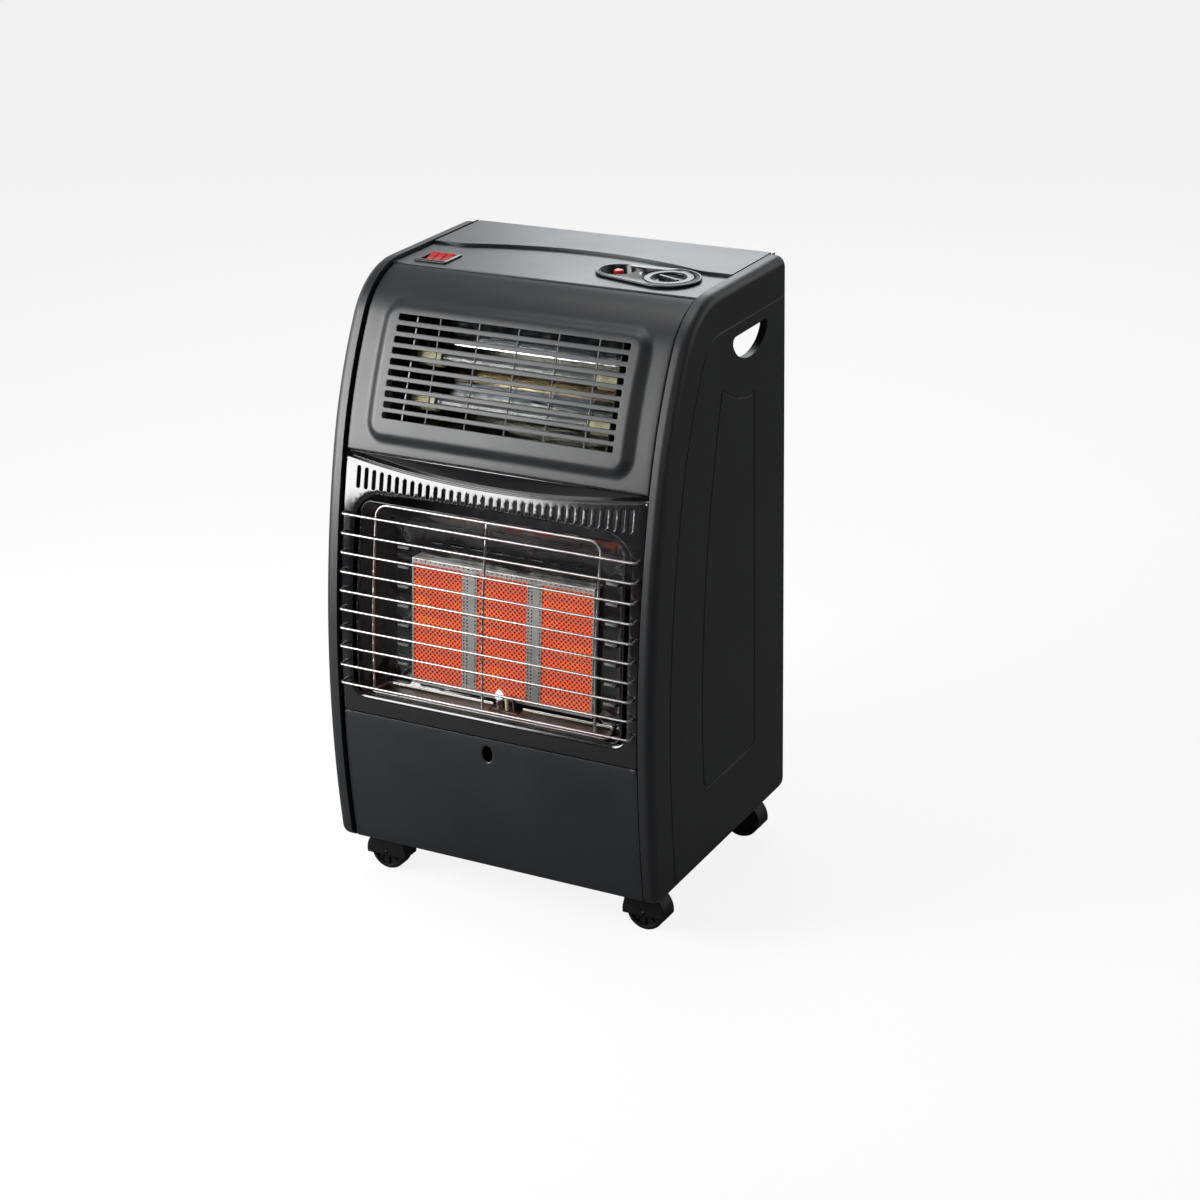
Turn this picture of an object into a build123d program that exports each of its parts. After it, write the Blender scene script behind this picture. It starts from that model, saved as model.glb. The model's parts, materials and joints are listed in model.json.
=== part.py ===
"""Cabinet gas heater on four swivel castors: a three-plaque infrared gas burner
behind a wire guard, with a two-tube electric heater above it.

Frame: millimetres, +Z up, the front faces -Y, X runs across. The origin lies on
the floor under the middle of the heater.
"""

from build123d import *
from math import asin, cos, degrees, radians, sin, sqrt
import os

# ---------------------------------------------------------------- overall sizes
overall_width = 420.0
overall_depth = 360.0
overall_height = 720.0
castor_rise = 6.0  # cabinet's bottom edge above the castors' hoods
sheet = 1.2  # steel panels
flange = 12.0  # depth of the panels' folded edges
seat_gap = 0.3  # between parts that nearly touch

# ------------------------------------------------ front curve, three tangent arcs
guard_reach = 5.5  # how far the guard stands out past the side panels
bulge_radius = 1300.0
shoulder_radius = 560.0
brow_radius = 92.0
shoulder_lean = 14.0  # degrees from upright where the shoulder arc starts
brow_lean = 30.0  # degrees from upright where the brow arc starts

# ------------------------------------------------------------------ side panels
band_width = 17.0  # depth of the pressed side panel across X
band_round = 11.0
corner_round = 14.0
side_gap = 3.0  # shadow gap between side panel and front panels
panel_inset = 4.0  # front panels lie this far behind the side bands
groove_width = 4.0
groove_depth = 0.8
outer_groove_inset = 43.0
field_rear = 89.0  # field edges ahead of the cabinet's back
field_front_high = 173.5
field_front_middle = 222.0
field_front_low = 228.0
field_corner = 14.0
field_floor = 92.0  # above the cabinet's bottom edge
field_top_front = 107.0  # below the cabinet's top
field_top_middle = 129.0
field_top_rear = 135.0
hand_hole_back = 100.0  # its middle, ahead of the cabinet's back
hand_hole_width = 92.0
hand_hole_height = 32.0
hand_hole_drop = 60.0  # its flat top edge, below the cabinet's top
hand_hole_lip = 8.0

# ------------------------------------------------------------------- front panels
joint_gap = 1.2  # between one front panel and the next
crease = 14.2  # upper panel's top edge ahead of the brow arc's centre
upper_panel_height = 190.0  # cabinet top to the upper panel's bottom edge
middle_panel_height = 303.0
lower_panel_lift = 2.0  # lower panel's bottom edge above the side panels'
boss_margin = 28.0  # boss edges from the panel's edges
boss_height = 139.0
boss_drop = 34.0  # its top edge below the cabinet's top
boss_rise = 6.0
boss_corner = 18.0
grille_slots = 10
grille_margin = 45.5
grille_slot_height = 6.0
grille_slot_pitch = 11.08
grille_top_drop = 48.5
ledge_drop_end = 6.0  # ledge line below the middle panel's top, at its ends
ledge_drop_middle = 21.0
ledge_depth = 8.0
vent_slots = 35
vent_slot_width = 4.4
vent_slot_pitch = 10.1
vent_slot_floor_drop = 40.0  # slot bottoms below the middle panel's top
vent_ledge_gap = 6.5
opening_margin = 14.0
opening_height = 238.0
opening_drop = 42.0
opening_arch = 4.0
opening_corner = 34.0
opening_lip_depth = 3.0
peep_hole_width = 13.0
peep_hole_height = 20.0
peep_hole_drop = 19.0

# ---------------------------------------------------------------- top and controls
lid_rise = 3.5
lid_bow = 27.0  # its front edge is this much further back in the middle
lid_flat = 38.0  # flat stretch at each end of the lid's front edge
lid_corner = 60.0
lid_rear_gap = 2.0
control_lap = 17.0  # control panel under the top plate, in the middle
rear_flange = 25.0
knob_margin = 59.0  # knob from the panel's right edge
knob_rail_gap = 8.2  # knob's cup behind the brow rail
knob_radius = 28.0
knob_gap = 1.6
knob_height = 10.6
knob_rim = 8.0
knob_dish = 4.0
knob_grip = 5.0
knob_rest_angle = -23.0
knob_press = 4.0
button_shift = 65.0  # button to the left of the knob, and behind it
button_behind = 6.0
button_radius = 5.5
button_height = 30.0
button_press = 6.0
button_well = 20.0
bezel_rise = 3.4
bezel_small_rim = 4.8  # flat rim around the button's well and around the knob's cup
bezel_large_rim = 5.7
bezel_gap = 0.5  # to the lid's front edge
bezel_wall = 1.2
well_depth = 12.0
switch_margin = 39.0  # from the panel's left edge
switch_back = 30.0
rocker_count = 3
rocker_width = 9.4
rocker_pitch = 10.4
rocker_length = 26.0
rocker_tilt = 9.0
switch_rim = 4.0
switch_rise = 2.2
switch_depth = 24.0
switch_wall = 1.1
rocker_gap = 0.8
rocker_pivot_drop = 3.0
rocker_pin_radius = 1.2

rocker_high = 4.8  # its ends, dip and keel, from the pivot
rocker_dip = 3.4
rocker_low = -2.0
spindle_radius = 3.0
spindle_square = 4.0
spindle_reach = 14.0
rotor_radius = 8.0
rotor_length = 20.0
valve_width = 34.0
valve_length = 30.0
valve_height = 36.0
nozzle_hex = 8.0
nozzle_radius = 4.5
nozzle_length = 22.0
nozzle_bore = 2.5
igniter_radius = 9.0
igniter_length = 40.0
rail_height = 30.0
rail_depth = 12.0
brow_rail_depth = 12.0
screw_count = 4
screw_pitch = 100.0
screw_radius = 2.0
screw_length = 8.0

# ------------------------------------------------------------------------ burner
burner_lean = 5.5  # degrees, top edge leaning back
burner_back = 45.5  # burner's face behind the front
burner_drop = 387.0  # burner centre below the cabinet's top
plaque_space = 17.0  # between one plaque and the next
plaque_width = 66.0
plaque_height = 144.0
plaque_depth = 12.0
plaque_lap_side = 1.0  # frame over the plaques' edges
plaque_lap_end = 3.0
frame_margin_side = 2.0  # frame's outer edges past the plaques
frame_margin_end = 3.0
frame_depth = 10.0
frame_plate = 1.5
funnel_back_margin = 28.0  # back plate's edges in from the opening's
funnel_back_rise = 113.0  # back plate's top edge above the burner centre
funnel_back_fall = 81.0
funnel_mouth_rise = 155.0
funnel_mouth_fall = 88.5
funnel_mouth_depth = 45.0
funnel_back_corner = 4.0
funnel_mouth_corner = 17.0
louvre_count = 8
louvre_pitch = 23.2
louvre_length = 16.0
louvre_height = 2.6
plenum_depth = 30.0
venturi_radius = 8.0
venturi_length = 30.0
tube_sheet = 1.5
injector_radius = 4.5
injector_tip = 2.0
manifold_side = 12.0
injector_height = 9.0
pipe_radius = 4.0
pipe_bend = 14.0
drip_tray_margin = 23.0  # its front corners in from the opening's
drip_tray_taper = 7.0
drip_tray_depth = 29.0
drip_tray_rise = 4.0
drip_tray_corner = 6.0
pilot_x = 11.0
pilot_notch_width = 38.0
pilot_notch_depth = 13.0
pilot_radius = 4.0
pilot_height = 11.0
pipe_margin = 18.0  # from the panel's right edge
pipe_clearance = 8.0  # ahead of the divider

# ------------------------------------------------------------------------- guard
guard_wires = 10
guard_wire_radius = 1.5
guard_margin = 4.0
guard_pitch = 22.0
guard_top_drop = 259.0
guard_hoop_margin = 48.0
guard_hoop_rise = 16.0
guard_hoop_corner = 14.0
guard_bend = 4.0
guard_tail = 5.0  # wire ends behind the panel's face
guard_weld = 0.4

# -------------------------------------------------------------- electric heater
tube_radius = 7.0
tube_length = 216.0
coil_radius = 4.0
ceramic_length = 30.0
ceramic_radius = 10.5
ceramic_grip = 10.0
tube_wall = 1.2
upper_tube = (112.5, 93.0)  # behind the front, below the cabinet's top
lower_tube = (94.5, 139.0)
cheek_sheet = 1.5
reflector_sheet = 1.0
reflector_corners = ((143.5, 36.0), (143.5, 110.0), (118.5, 152.0), (62.5, 170.0))
cheek_corners = ((118.5, 36.0), (110.5, 44.0), (60.5, 163.0))
safety_bars = ((112.5, 45.0), (64.5, 163.0))
safety_wire_radius = 1.0
safety_wire_x = (-100.0, -50.0, 0.0, 50.0, 100.0)

# --------------------------------------------------- base, divider and rear cover
tray_sheet = 1.5
tray_upstand = 14.0
tray_rear = 4.0  # tray's back edge ahead of the cabinet's back
bottle_ring_radius = 100.0
bottle_ring_rise = 2.0
bottle_back = 117.0
tray_slot_length = 40.0
tray_slot_width = 8.0
divider_back = 124.5  # behind the front
divider_step = 20.0
divider_step_drop = 164.0
divider_top_drop = 26.0
rear_cover_low = 112.0
rear_cover_high = 440.0
rear_cover_back = 4.0
rear_cover_fold = 6.0
rear_cover_slots = 5
rear_cover_slot = 120.0
hook_width = 40.0
hook_drop = 15.0
rear_rail_height = 30.0
rear_rail_back = 12.0
terminal_length = 70.0
terminal_depth = 42.0
terminal_height = 39.0
gland_radius = 9.0
gland_length = 18.0
gland_bore = 4.0

# ------------------------------------------------------------------------ castors
castor_margin = 30.0  # swivel axis in from the panels' edges
castor_front = 50.0  # behind the foot of the front curve
castor_rear = 40.0
castor_trail = 12.0
wheel_radius = 23.0
wheel_width = 20.0
wheel_gap = 0.8
fork_sheet = 2.2
axle_radius = 3.0
stem_radius = 5.0
stem_length = 26.0
collar_radius = 9.0
hood_sheet = 2.8
hood_gap = 1.2
hood_skirt = 4.0  # hood's lower edge below the axle
socket_plate = 42.0
socket_sheet = 1.5
socket_radius = 8.0
socket_height = 28.0
running_gap = 0.05

# -------------------------------------------------------------- worked-out places
half_width = overall_width / 2
band_inner = half_width - band_width
panel_half = band_inner - side_gap
front_y = -overall_depth / 2 + guard_reach
rear_y = overall_depth / 2
top_z = overall_height
hood_radius = wheel_radius + hood_gap + hood_sheet
floor_gap = wheel_radius + hood_radius + castor_rise  # floor to the cabinet's bottom edge
bezel_small_radius = button_well + bezel_wall + bezel_small_rim
knob_cup_radius = knob_radius + knob_gap + bezel_wall
bezel_large_radius = knob_cup_radius + bezel_large_rim
knob_back = brow_rail_depth + knob_cup_radius + knob_rail_gap  # behind the crease
lid_end_back = knob_back + bezel_large_radius + bezel_gap
lid_middle_back = lid_end_back + lid_bow
control_depth = lid_middle_back + control_lap
plaque_pitch = plaque_width + plaque_space
window_width = plaque_width - 2 * plaque_lap_side
window_height = plaque_height - 2 * plaque_lap_end
frame_width = 2 * plaque_pitch + plaque_width + 2 * frame_margin_side
frame_height = plaque_height + 2 * frame_margin_end
control_z = top_z - panel_inset
lid_z = control_z + lid_rise
upper_low = top_z - upper_panel_height
middle_high = upper_low - joint_gap
middle_low = middle_high - middle_panel_height
lower_high = middle_low - joint_gap
lower_low = floor_gap + lower_panel_lift
tray_z = lower_low + sheet
tray_top = tray_z + tray_sheet
burner_z = top_z - burner_drop
burner_plane = Plane(
    origin=(0, front_y + burner_back, burner_z),
    x_dir=(1, 0, 0),
    z_dir=(0, -cos(radians(burner_lean)), sin(radians(burner_lean))),
)
SHOULDER_SIN, SHOULDER_COS = sin(radians(shoulder_lean)), cos(radians(shoulder_lean))
BROW_SIN, BROW_COS = sin(radians(brow_lean)), cos(radians(brow_lean))
brow_z = top_z - brow_radius * (1 - BROW_SIN)
shoulder_z = brow_z - shoulder_radius * (BROW_SIN - SHOULDER_SIN)
bulge_z = shoulder_z - bulge_radius * SHOULDER_SIN
shoulder_y = front_y + bulge_radius * (1 - SHOULDER_COS)
brow_y = shoulder_y + shoulder_radius * (SHOULDER_COS - BROW_COS)
bulge_centre = (front_y + bulge_radius, bulge_z)
shoulder_centre = (
    shoulder_y + shoulder_radius * SHOULDER_COS,
    shoulder_z - shoulder_radius * SHOULDER_SIN,
)
brow_centre = (brow_y + brow_radius * BROW_COS, brow_z - brow_radius * BROW_SIN)
control_front = brow_centre[0] - crease
boss_width = 2 * (panel_half - boss_margin)
grille_slot_length = 2 * (panel_half - grille_margin)
opening_width = 2 * (panel_half - opening_margin)
drip_tray_width = opening_width - 2 * drip_tray_margin
guard_width = 2 * (panel_half - guard_margin)
knob_x = panel_half - knob_margin
knob_y = control_front + knob_back
button_x, button_y = knob_x - button_shift, knob_y + button_behind
switch_x, switch_y = switch_margin - panel_half, control_front + switch_back
divider_y = front_y + divider_back
pipe_x = panel_half - pipe_margin
FAR = 2000.0  # longer than anything here, for cutting shapes

finished = {}


def keep(part, name):
    """Label a finished piece and remember it for export."""
    part.label = name
    finished[name] = part


def front_at(z, inset=0.0):
    """Y of the front curve, moved inwards by inset, at height z."""
    if z >= brow_z:
        centre, radius = brow_centre, brow_radius - inset
    elif z >= shoulder_z:
        centre, radius = shoulder_centre, shoulder_radius - inset
    else:
        centre, radius = bulge_centre, bulge_radius - inset
    rise = min(max(z - centre[1], -radius), radius)
    return centre[0] - sqrt(radius**2 - rise**2)


def side_view(inset, rear=rear_y, floor=floor_gap):
    """The cabinet seen from the side: front curve moved in, flat top, back, floor."""
    radius = bulge_radius - inset
    start = degrees(asin((floor - bulge_z) / radius))
    foot = (bulge_centre[0] - sqrt(radius**2 - (floor - bulge_z) ** 2), floor)
    with BuildSketch() as view:
        with BuildLine():
            CenterArc(bulge_centre, radius, 180 - start, start - shoulder_lean)
            CenterArc(
                shoulder_centre, shoulder_radius - inset, 180 - shoulder_lean, shoulder_lean - brow_lean
            )
            brow = CenterArc(brow_centre, brow_radius - inset, 180 - brow_lean, brow_lean - 90)
            Polyline(brow @ 1, (rear, top_z - inset), (rear, floor), foot)
        make_face()
    return view.sketch


def front_strip(inset, low, high, rear=0.0):
    """The part of the side view between two heights, in front of a line at rear."""
    with BuildSketch() as strip:
        add(side_view(inset, rear=rear_y, floor=floor_gap - 20))
        with Locations((rear - FAR / 2, (low + high) / 2)):
            Rectangle(FAR, high - low, mode=Mode.INTERSECT)
    return strip.sketch


def mirrored(part, name):
    """Keep the piece's left-hand twin."""
    keep(mirror(part, about=Plane.YZ), name)


# =================================================================== side panels
def hand_hole(grow):
    """The D-shaped hand hole: flat edge up, a half ellipse below, grown by grow."""
    width, height = hand_hole_width / 2 + grow, hand_hole_height + 2 * grow
    with BuildSketch() as hole:
        with Locations((rear_y - hand_hole_back, top_z - hand_hole_drop + grow)):
            Ellipse(width, height)
            Rectangle(FAR, FAR, align=(Align.CENTER, Align.MIN), mode=Mode.SUBTRACT)
        fillet(hole.vertices(), 7 + grow / 2)
    return hole.sketch


def field_outline():
    """The narrow field pressed in the lower side panel, with a scooped top edge."""
    high, middle, low = (
        top_z - drop for drop in (field_top_front, field_top_middle, field_top_rear)
    )
    front, bow, foot, back = (
        rear_y - ahead
        for ahead in (field_front_high, field_front_middle, field_front_low, field_rear)
    )
    floor = floor_gap + field_floor
    with BuildSketch() as field:
        with BuildLine():
            ThreePointArc((back, low), ((back + front) / 2, middle), (front, high))
            ThreePointArc((front, high), (bow, (high + floor) / 2), (foot, floor))
            Polyline((foot, floor), (back, floor), (back, low))
        make_face()
        fillet(field.vertices().group_by(Axis.Y)[0], field_corner)
    return field.sketch


def pressed_side(inset):
    """The solid dished side, with its outer skin and edges moved in by inset."""
    with BuildPart() as dish:
        with BuildSketch(Plane.YZ.offset(band_inner)):
            add(rounded_side(inset, corner_round - inset))
        extrude(amount=band_width - inset)
        fillet(dish.faces().sort_by(Axis.X)[-1].edges(), band_round - inset)
    return dish.part


def rounded_side(inset, corner):
    """The side view moved in all round, its three square corners rounded."""
    with BuildSketch() as view:
        add(side_view(inset, rear=rear_y - inset, floor=floor_gap + inset))
        feet = view.vertices().group_by(Axis.Y)[0]
        fillet(feet + view.vertices().sort_by(Axis.X)[-1:], corner)
    return view.sketch


castor_front_y = front_at(tray_z) + castor_front
castor_rear_y = rear_y - castor_rear

side_face = Plane.YZ.offset(half_width)
with BuildPart() as side_panel:
    add(pressed_side(0))
    add(pressed_side(sheet), mode=Mode.SUBTRACT)
    with BuildSketch(Plane.YZ.offset(band_inner)):
        add(rounded_side(sheet / 2, corner_round - sheet / 2))
        add(rounded_side(flange, sheet), mode=Mode.SUBTRACT)
    extrude(amount=sheet)
    with BuildSketch(side_face):
        add(side_view(outer_groove_inset, rear=rear_y + 1, floor=floor_gap - 1))
        add(
            side_view(outer_groove_inset + groove_width, rear=rear_y + 2, floor=floor_gap - 2),
            mode=Mode.SUBTRACT,
        )
        add(field_outline())
        offset(field_outline(), amount=-groove_width, mode=Mode.SUBTRACT)
    extrude(amount=-groove_depth, mode=Mode.SUBTRACT)
    with BuildSketch(Plane.YZ.offset(half_width - sheet)):
        add(hand_hole(sheet))
    extrude(amount=-hand_hole_lip)
    with BuildSketch(side_face):
        add(hand_hole(0))
    extrude(amount=-band_width, mode=Mode.SUBTRACT)
keep(side_panel.part, "side_panel_right")
mirrored(side_panel.part, "side_panel_left")


# ============================================================== front panels
def solid_strip(inset, low, high, rear=0.0, half=panel_half):
    """The bowed block behind a front panel's face, moved in by inset."""
    with BuildPart() as block:
        with BuildSketch(Plane.YZ):
            add(front_strip(inset, low, high, rear))
        extrude(amount=half, both=True)
    return block.part


def boss_block(inset, grow):
    """The raised boss of the upper panel as a solid, moved in by inset, less grow."""
    with BuildPart() as boss:
        with BuildSketch(Plane.XZ):
            with Locations((0, top_z - boss_drop - boss_height / 2)):
                RectangleRounded(boss_width - 2 * grow, boss_height - 2 * grow, boss_corner - grow)
        extrude(amount=FAR)
        add(solid_strip(inset - boss_rise, 0, top_z), mode=Mode.INTERSECT)
    return boss.part


with BuildPart() as upper_front_panel:
    add(solid_strip(panel_inset, upper_low, top_z, control_front - joint_gap))
    add(boss_block(panel_inset, 0))
    add(
        solid_strip(
            panel_inset + sheet, upper_low + sheet, top_z, control_front - joint_gap - sheet, panel_half - sheet
        ),
        mode=Mode.SUBTRACT,
    )
    add(boss_block(panel_inset + sheet, sheet), mode=Mode.SUBTRACT)
    add(solid_strip(panel_inset + flange, upper_low - 1, top_z, 1, panel_half + 1), mode=Mode.SUBTRACT)
    with BuildSketch(Plane.XZ):
        for row in range(grille_slots):
            with Locations((0, top_z - grille_top_drop - row * grille_slot_pitch)):
                SlotOverall(grille_slot_length, grille_slot_height)
    extrude(amount=FAR, mode=Mode.SUBTRACT)
keep(upper_front_panel.part, "upper_front_panel")


def ledge_at(x):
    """Height of the smile-shaped ledge line at x."""
    sag = ledge_drop_middle - ledge_drop_end
    radius = (panel_half**2 + sag**2) / (2 * sag)
    return middle_high - ledge_drop_middle + radius - sqrt(radius**2 - x**2)


def ledged_block(inset, grow):
    """The middle panel's solid, set back above its ledge line."""
    with BuildPart() as above:
        with BuildSketch(Plane.XZ):
            with BuildLine():
                ledge = ThreePointArc(
                    (-panel_half, ledge_at(panel_half) - grow),
                    (0, ledge_at(0) - grow),
                    (panel_half, ledge_at(panel_half) - grow),
                )
                Polyline(ledge @ 1, (panel_half, top_z), (-panel_half, top_z), ledge @ 0)
            make_face()
        extrude(amount=FAR)
        add(solid_strip(inset + ledge_depth, 0, top_z), mode=Mode.SUBTRACT)
    with BuildPart() as block:
        add(solid_strip(inset, middle_low + grow, middle_high - grow, half=panel_half - grow))
        add(above.part, mode=Mode.SUBTRACT)
    return block.part


def opening_outline(grow):
    """The heat opening: arched top, rounded corners, grown by grow."""
    half = opening_width / 2 + grow
    high = middle_high - opening_drop + grow
    low = middle_high - opening_drop - opening_height - grow
    with BuildSketch() as outline:
        with BuildLine():
            arch = ThreePointArc((-half, high - opening_arch), (0, high), (half, high - opening_arch))
            Polyline(arch @ 1, (half, low), (-half, low), arch @ 0)
        make_face()
        fillet(outline.vertices().group_by(Axis.Y)[-1], opening_corner + grow)
        fillet(outline.vertices().group_by(Axis.Y)[0], opening_corner / 2 + grow)
    return outline.sketch


with BuildPart() as opening_lip:
    with BuildSketch(Plane.XZ):
        add(opening_outline(sheet))
        add(opening_outline(0), mode=Mode.SUBTRACT)
    extrude(amount=FAR)
    add(solid_strip(panel_inset + sheet / 2, middle_low, middle_high), mode=Mode.INTERSECT)
    add(solid_strip(panel_inset + opening_lip_depth, 0, top_z, 1), mode=Mode.SUBTRACT)
with BuildPart() as middle_front_panel:
    add(ledged_block(panel_inset, 0))
    add(ledged_block(panel_inset + sheet, sheet), mode=Mode.SUBTRACT)
    add(solid_strip(panel_inset + flange, 0, top_z, 1, panel_half + 1), mode=Mode.SUBTRACT)
    with BuildSketch(Plane.XZ):
        add(opening_outline(sheet / 2))
        for slot in range(vent_slots):
            x = (slot - (vent_slots - 1) / 2) * vent_slot_pitch
            low = middle_high - vent_slot_floor_drop
            high = ledge_at(x) - vent_ledge_gap
            with Locations((x, (low + high) / 2)):
                SlotOverall(high - low, vent_slot_width, rotation=90)
        for row in range(guard_wires):
            with Locations((0, top_z - guard_top_drop - row * guard_pitch)):
                with GridLocations(guard_width, 0, 2, 1):
                    Circle(guard_wire_radius + seat_gap)
    extrude(amount=FAR, mode=Mode.SUBTRACT)
    add(opening_lip.part)
keep(middle_front_panel.part, "middle_front_panel")

with BuildPart() as lower_front_panel:
    add(solid_strip(panel_inset, lower_low, lower_high))
    add(
        solid_strip(panel_inset + sheet, lower_low + sheet, lower_high - sheet, half=panel_half - sheet),
        mode=Mode.SUBTRACT,
    )
    add(solid_strip(panel_inset + flange, 0, top_z, 1, panel_half + 1), mode=Mode.SUBTRACT)
    with BuildSketch(Plane.XZ):
        with Locations((0, lower_high - peep_hole_drop)):
            Ellipse(peep_hole_width / 2, peep_hole_height / 2)
    extrude(amount=FAR, mode=Mode.SUBTRACT)
keep(lower_front_panel.part, "lower_front_panel")

# ============================================================== cross rails
with BuildPart() as cross_rails:
    for height in (upper_low, lower_high):
        with BuildSketch(Plane.YZ):
            add(front_strip(panel_inset + flange + seat_gap, height - rail_height / 2, height + rail_height / 2))
            add(
                front_strip(panel_inset + flange + rail_depth, 0, top_z, 1),
                mode=Mode.SUBTRACT,
            )
        extrude(amount=band_inner, both=True)
    with Locations((0, control_front, control_z - sheet)):
        Box(2 * band_inner, brow_rail_depth, flange + 3, align=(Align.CENTER, Align.MIN, Align.MAX))
        Box(
            2 * (panel_half + seat_gap),
            brow_rail_depth,
            flange - sheet,
            align=(Align.CENTER, Align.MIN, Align.MAX),
            mode=Mode.SUBTRACT,
        )
    with Locations((0, rear_y - lid_rear_gap - sheet, control_z)):
        Box(2 * band_inner, rail_depth, rear_flange - lid_rise, align=(Align.CENTER, Align.MAX, Align.MAX))
    with BuildSketch(Plane.XZ.offset(-rear_y)):
        with Locations((0, lid_z - rear_flange / 2)):
            with GridLocations(screw_pitch, 0, screw_count, 1):
                Circle(screw_radius)
    extrude(amount=lid_rear_gap + sheet + screw_length, mode=Mode.SUBTRACT)
    with Locations((0, rear_y - rear_rail_back, rear_cover_high - seat_gap)):
        Box(2 * band_inner, sheet, rear_rail_height, align=(Align.CENTER, Align.MIN, Align.MAX))
keep(cross_rails.part, "cross_rails")

# ============================================================= top of the heater
switch_width = rocker_count * rocker_pitch + 2 * switch_wall
switch_length = rocker_length + 2 * (rocker_gap + switch_wall) + 1
cup_low = control_z - well_depth - bezel_wall

with BuildPart() as control_panel:
    with Locations((0, control_front, control_z)):
        Box(
            2 * panel_half,
            control_depth,
            flange,
            align=(Align.CENTER, Align.MIN, Align.MAX),
        )
    with Locations((0, control_front + sheet, control_z - sheet)):
        Box(
            2 * (panel_half - sheet),
            control_depth - 2 * sheet,
            flange,
            align=(Align.CENTER, Align.MIN, Align.MAX),
            mode=Mode.SUBTRACT,
        )
    with BuildSketch(Plane.XY.offset(control_z)):
        with Locations((knob_x, knob_y)):
            Circle(knob_cup_radius + seat_gap)
        with Locations((button_x, button_y)):
            Circle(button_well + bezel_wall + seat_gap)
        with Locations((switch_x, switch_y)):
            Rectangle(switch_width + 2 * seat_gap, switch_length + 2 * seat_gap)
    extrude(amount=-sheet, mode=Mode.SUBTRACT)
keep(control_panel.part, "control_panel")


def lid_outline(grow):
    """The rear top plate from above, its front edge bowed to the back."""
    half = panel_half + grow
    chord = panel_half - lid_flat
    rear = rear_y - lid_rear_gap + grow
    end = control_front + lid_end_back - grow
    middle = control_front + lid_middle_back - grow
    with BuildSketch() as plate:
        with BuildLine():
            bow = ThreePointArc((-chord, end), (0, middle), (chord, end))
            Polyline(bow @ 1, (half, end), (half, rear), (-half, rear), (-half, end), bow @ 0)
        make_face()
        turns = plate.vertices().filter_by(lambda v: abs(abs(v.X) - chord) < 0.01)
        fillet(turns, lid_corner)
    return plate.sketch


with BuildPart() as top_plate:
    with BuildSketch(Plane.XY.offset(control_z)):
        add(lid_outline(0))
    extrude(amount=lid_rise)
    with BuildSketch(Plane.XY.offset(control_z)):
        add(lid_outline(-sheet))
    extrude(amount=lid_rise - sheet, mode=Mode.SUBTRACT)
    with Locations((0, rear_y - lid_rear_gap, lid_z)):
        Box(2 * panel_half, sheet, rear_flange, align=(Align.CENTER, Align.MAX, Align.MAX))
    with BuildSketch(Plane.XZ.offset(-rear_y)):
        with Locations((0, lid_z - rear_flange / 2)):
            with GridLocations(screw_pitch, 0, screw_count, 1):
                Circle(screw_radius + running_gap)
    extrude(amount=lid_rear_gap + 2 * sheet, mode=Mode.SUBTRACT)
keep(top_plate.part, "top_plate")

with BuildPart() as rear_screws:
    with BuildSketch(Plane.XZ.offset(-rear_y)):
        with Locations((0, lid_z - rear_flange / 2)):
            with GridLocations(screw_pitch, 0, screw_count, 1):
                Circle(2 * screw_radius)
    extrude(amount=lid_rear_gap)
    with BuildSketch(Plane.XZ.offset(-rear_y)):
        with Locations((0, lid_z - rear_flange / 2)):
            with GridLocations(screw_pitch, 0, screw_count, 1):
                Circle(screw_radius)
    extrude(amount=lid_rear_gap + sheet + screw_length)
keep(rear_screws.part, "rear_screws")

# ==================================================================== controls
with BuildPart() as dial_bezel:
    with BuildSketch(Plane.XY.offset(control_z)):
        with Locations((knob_x, knob_y)):
            Circle(bezel_large_radius)
        with Locations((button_x, button_y)):
            Circle(bezel_small_radius)
        make_hull()
    extrude(amount=bezel_rise)
    fillet(dial_bezel.faces().sort_by(Axis.Z)[-1].edges(), 1.0)
    with BuildSketch(Plane.XY.offset(cup_low)):
        with Locations((knob_x, knob_y)):
            Circle(knob_cup_radius)
        with Locations((button_x, button_y)):
            Circle(button_well + bezel_wall)
    extrude(amount=control_z - cup_low)
    with BuildSketch(Plane.XY.offset(cup_low + bezel_wall)):
        with Locations((knob_x, knob_y)):
            Circle(knob_radius + knob_gap)
        with Locations((button_x, button_y)):
            Circle(button_well)
    extrude(amount=FAR, mode=Mode.SUBTRACT)
    with BuildSketch(Plane.XY.offset(cup_low)):
        with Locations((knob_x, knob_y)):
            Circle(spindle_radius + seat_gap)
        with Locations((button_x, button_y)):
            Circle(button_radius + seat_gap)
    extrude(amount=bezel_wall, mode=Mode.SUBTRACT)
keep(dial_bezel.part, "dial_bezel")

knob_low = control_z - well_depth + knob_press + 1.0
with BuildPart() as gas_knob:
    with BuildSketch(Plane.XY.offset(knob_low)):
        with Locations((knob_x, knob_y)):
            Circle(knob_radius)
    extrude(amount=knob_height)
    with BuildSketch(Plane.XY.offset(knob_low + knob_height)):
        with Locations(Location((knob_x, knob_y, 0), (0, 0, knob_rest_angle))):
            Circle(knob_radius - knob_rim)
            Rectangle(2 * (knob_radius - knob_rim), knob_grip, mode=Mode.SUBTRACT)
    extrude(amount=-knob_dish, mode=Mode.SUBTRACT)
    fillet(gas_knob.faces().sort_by(Axis.Z)[-1].edges().filter_by(GeomType.CIRCLE), 0.8)
    with BuildSketch(Plane.XY.offset(knob_low)):
        with Locations((knob_x, knob_y)):
            Circle(spindle_radius)
    extrude(amount=knob_height / 2, mode=Mode.SUBTRACT)
keep(gas_knob.part, "gas_knob")

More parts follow.
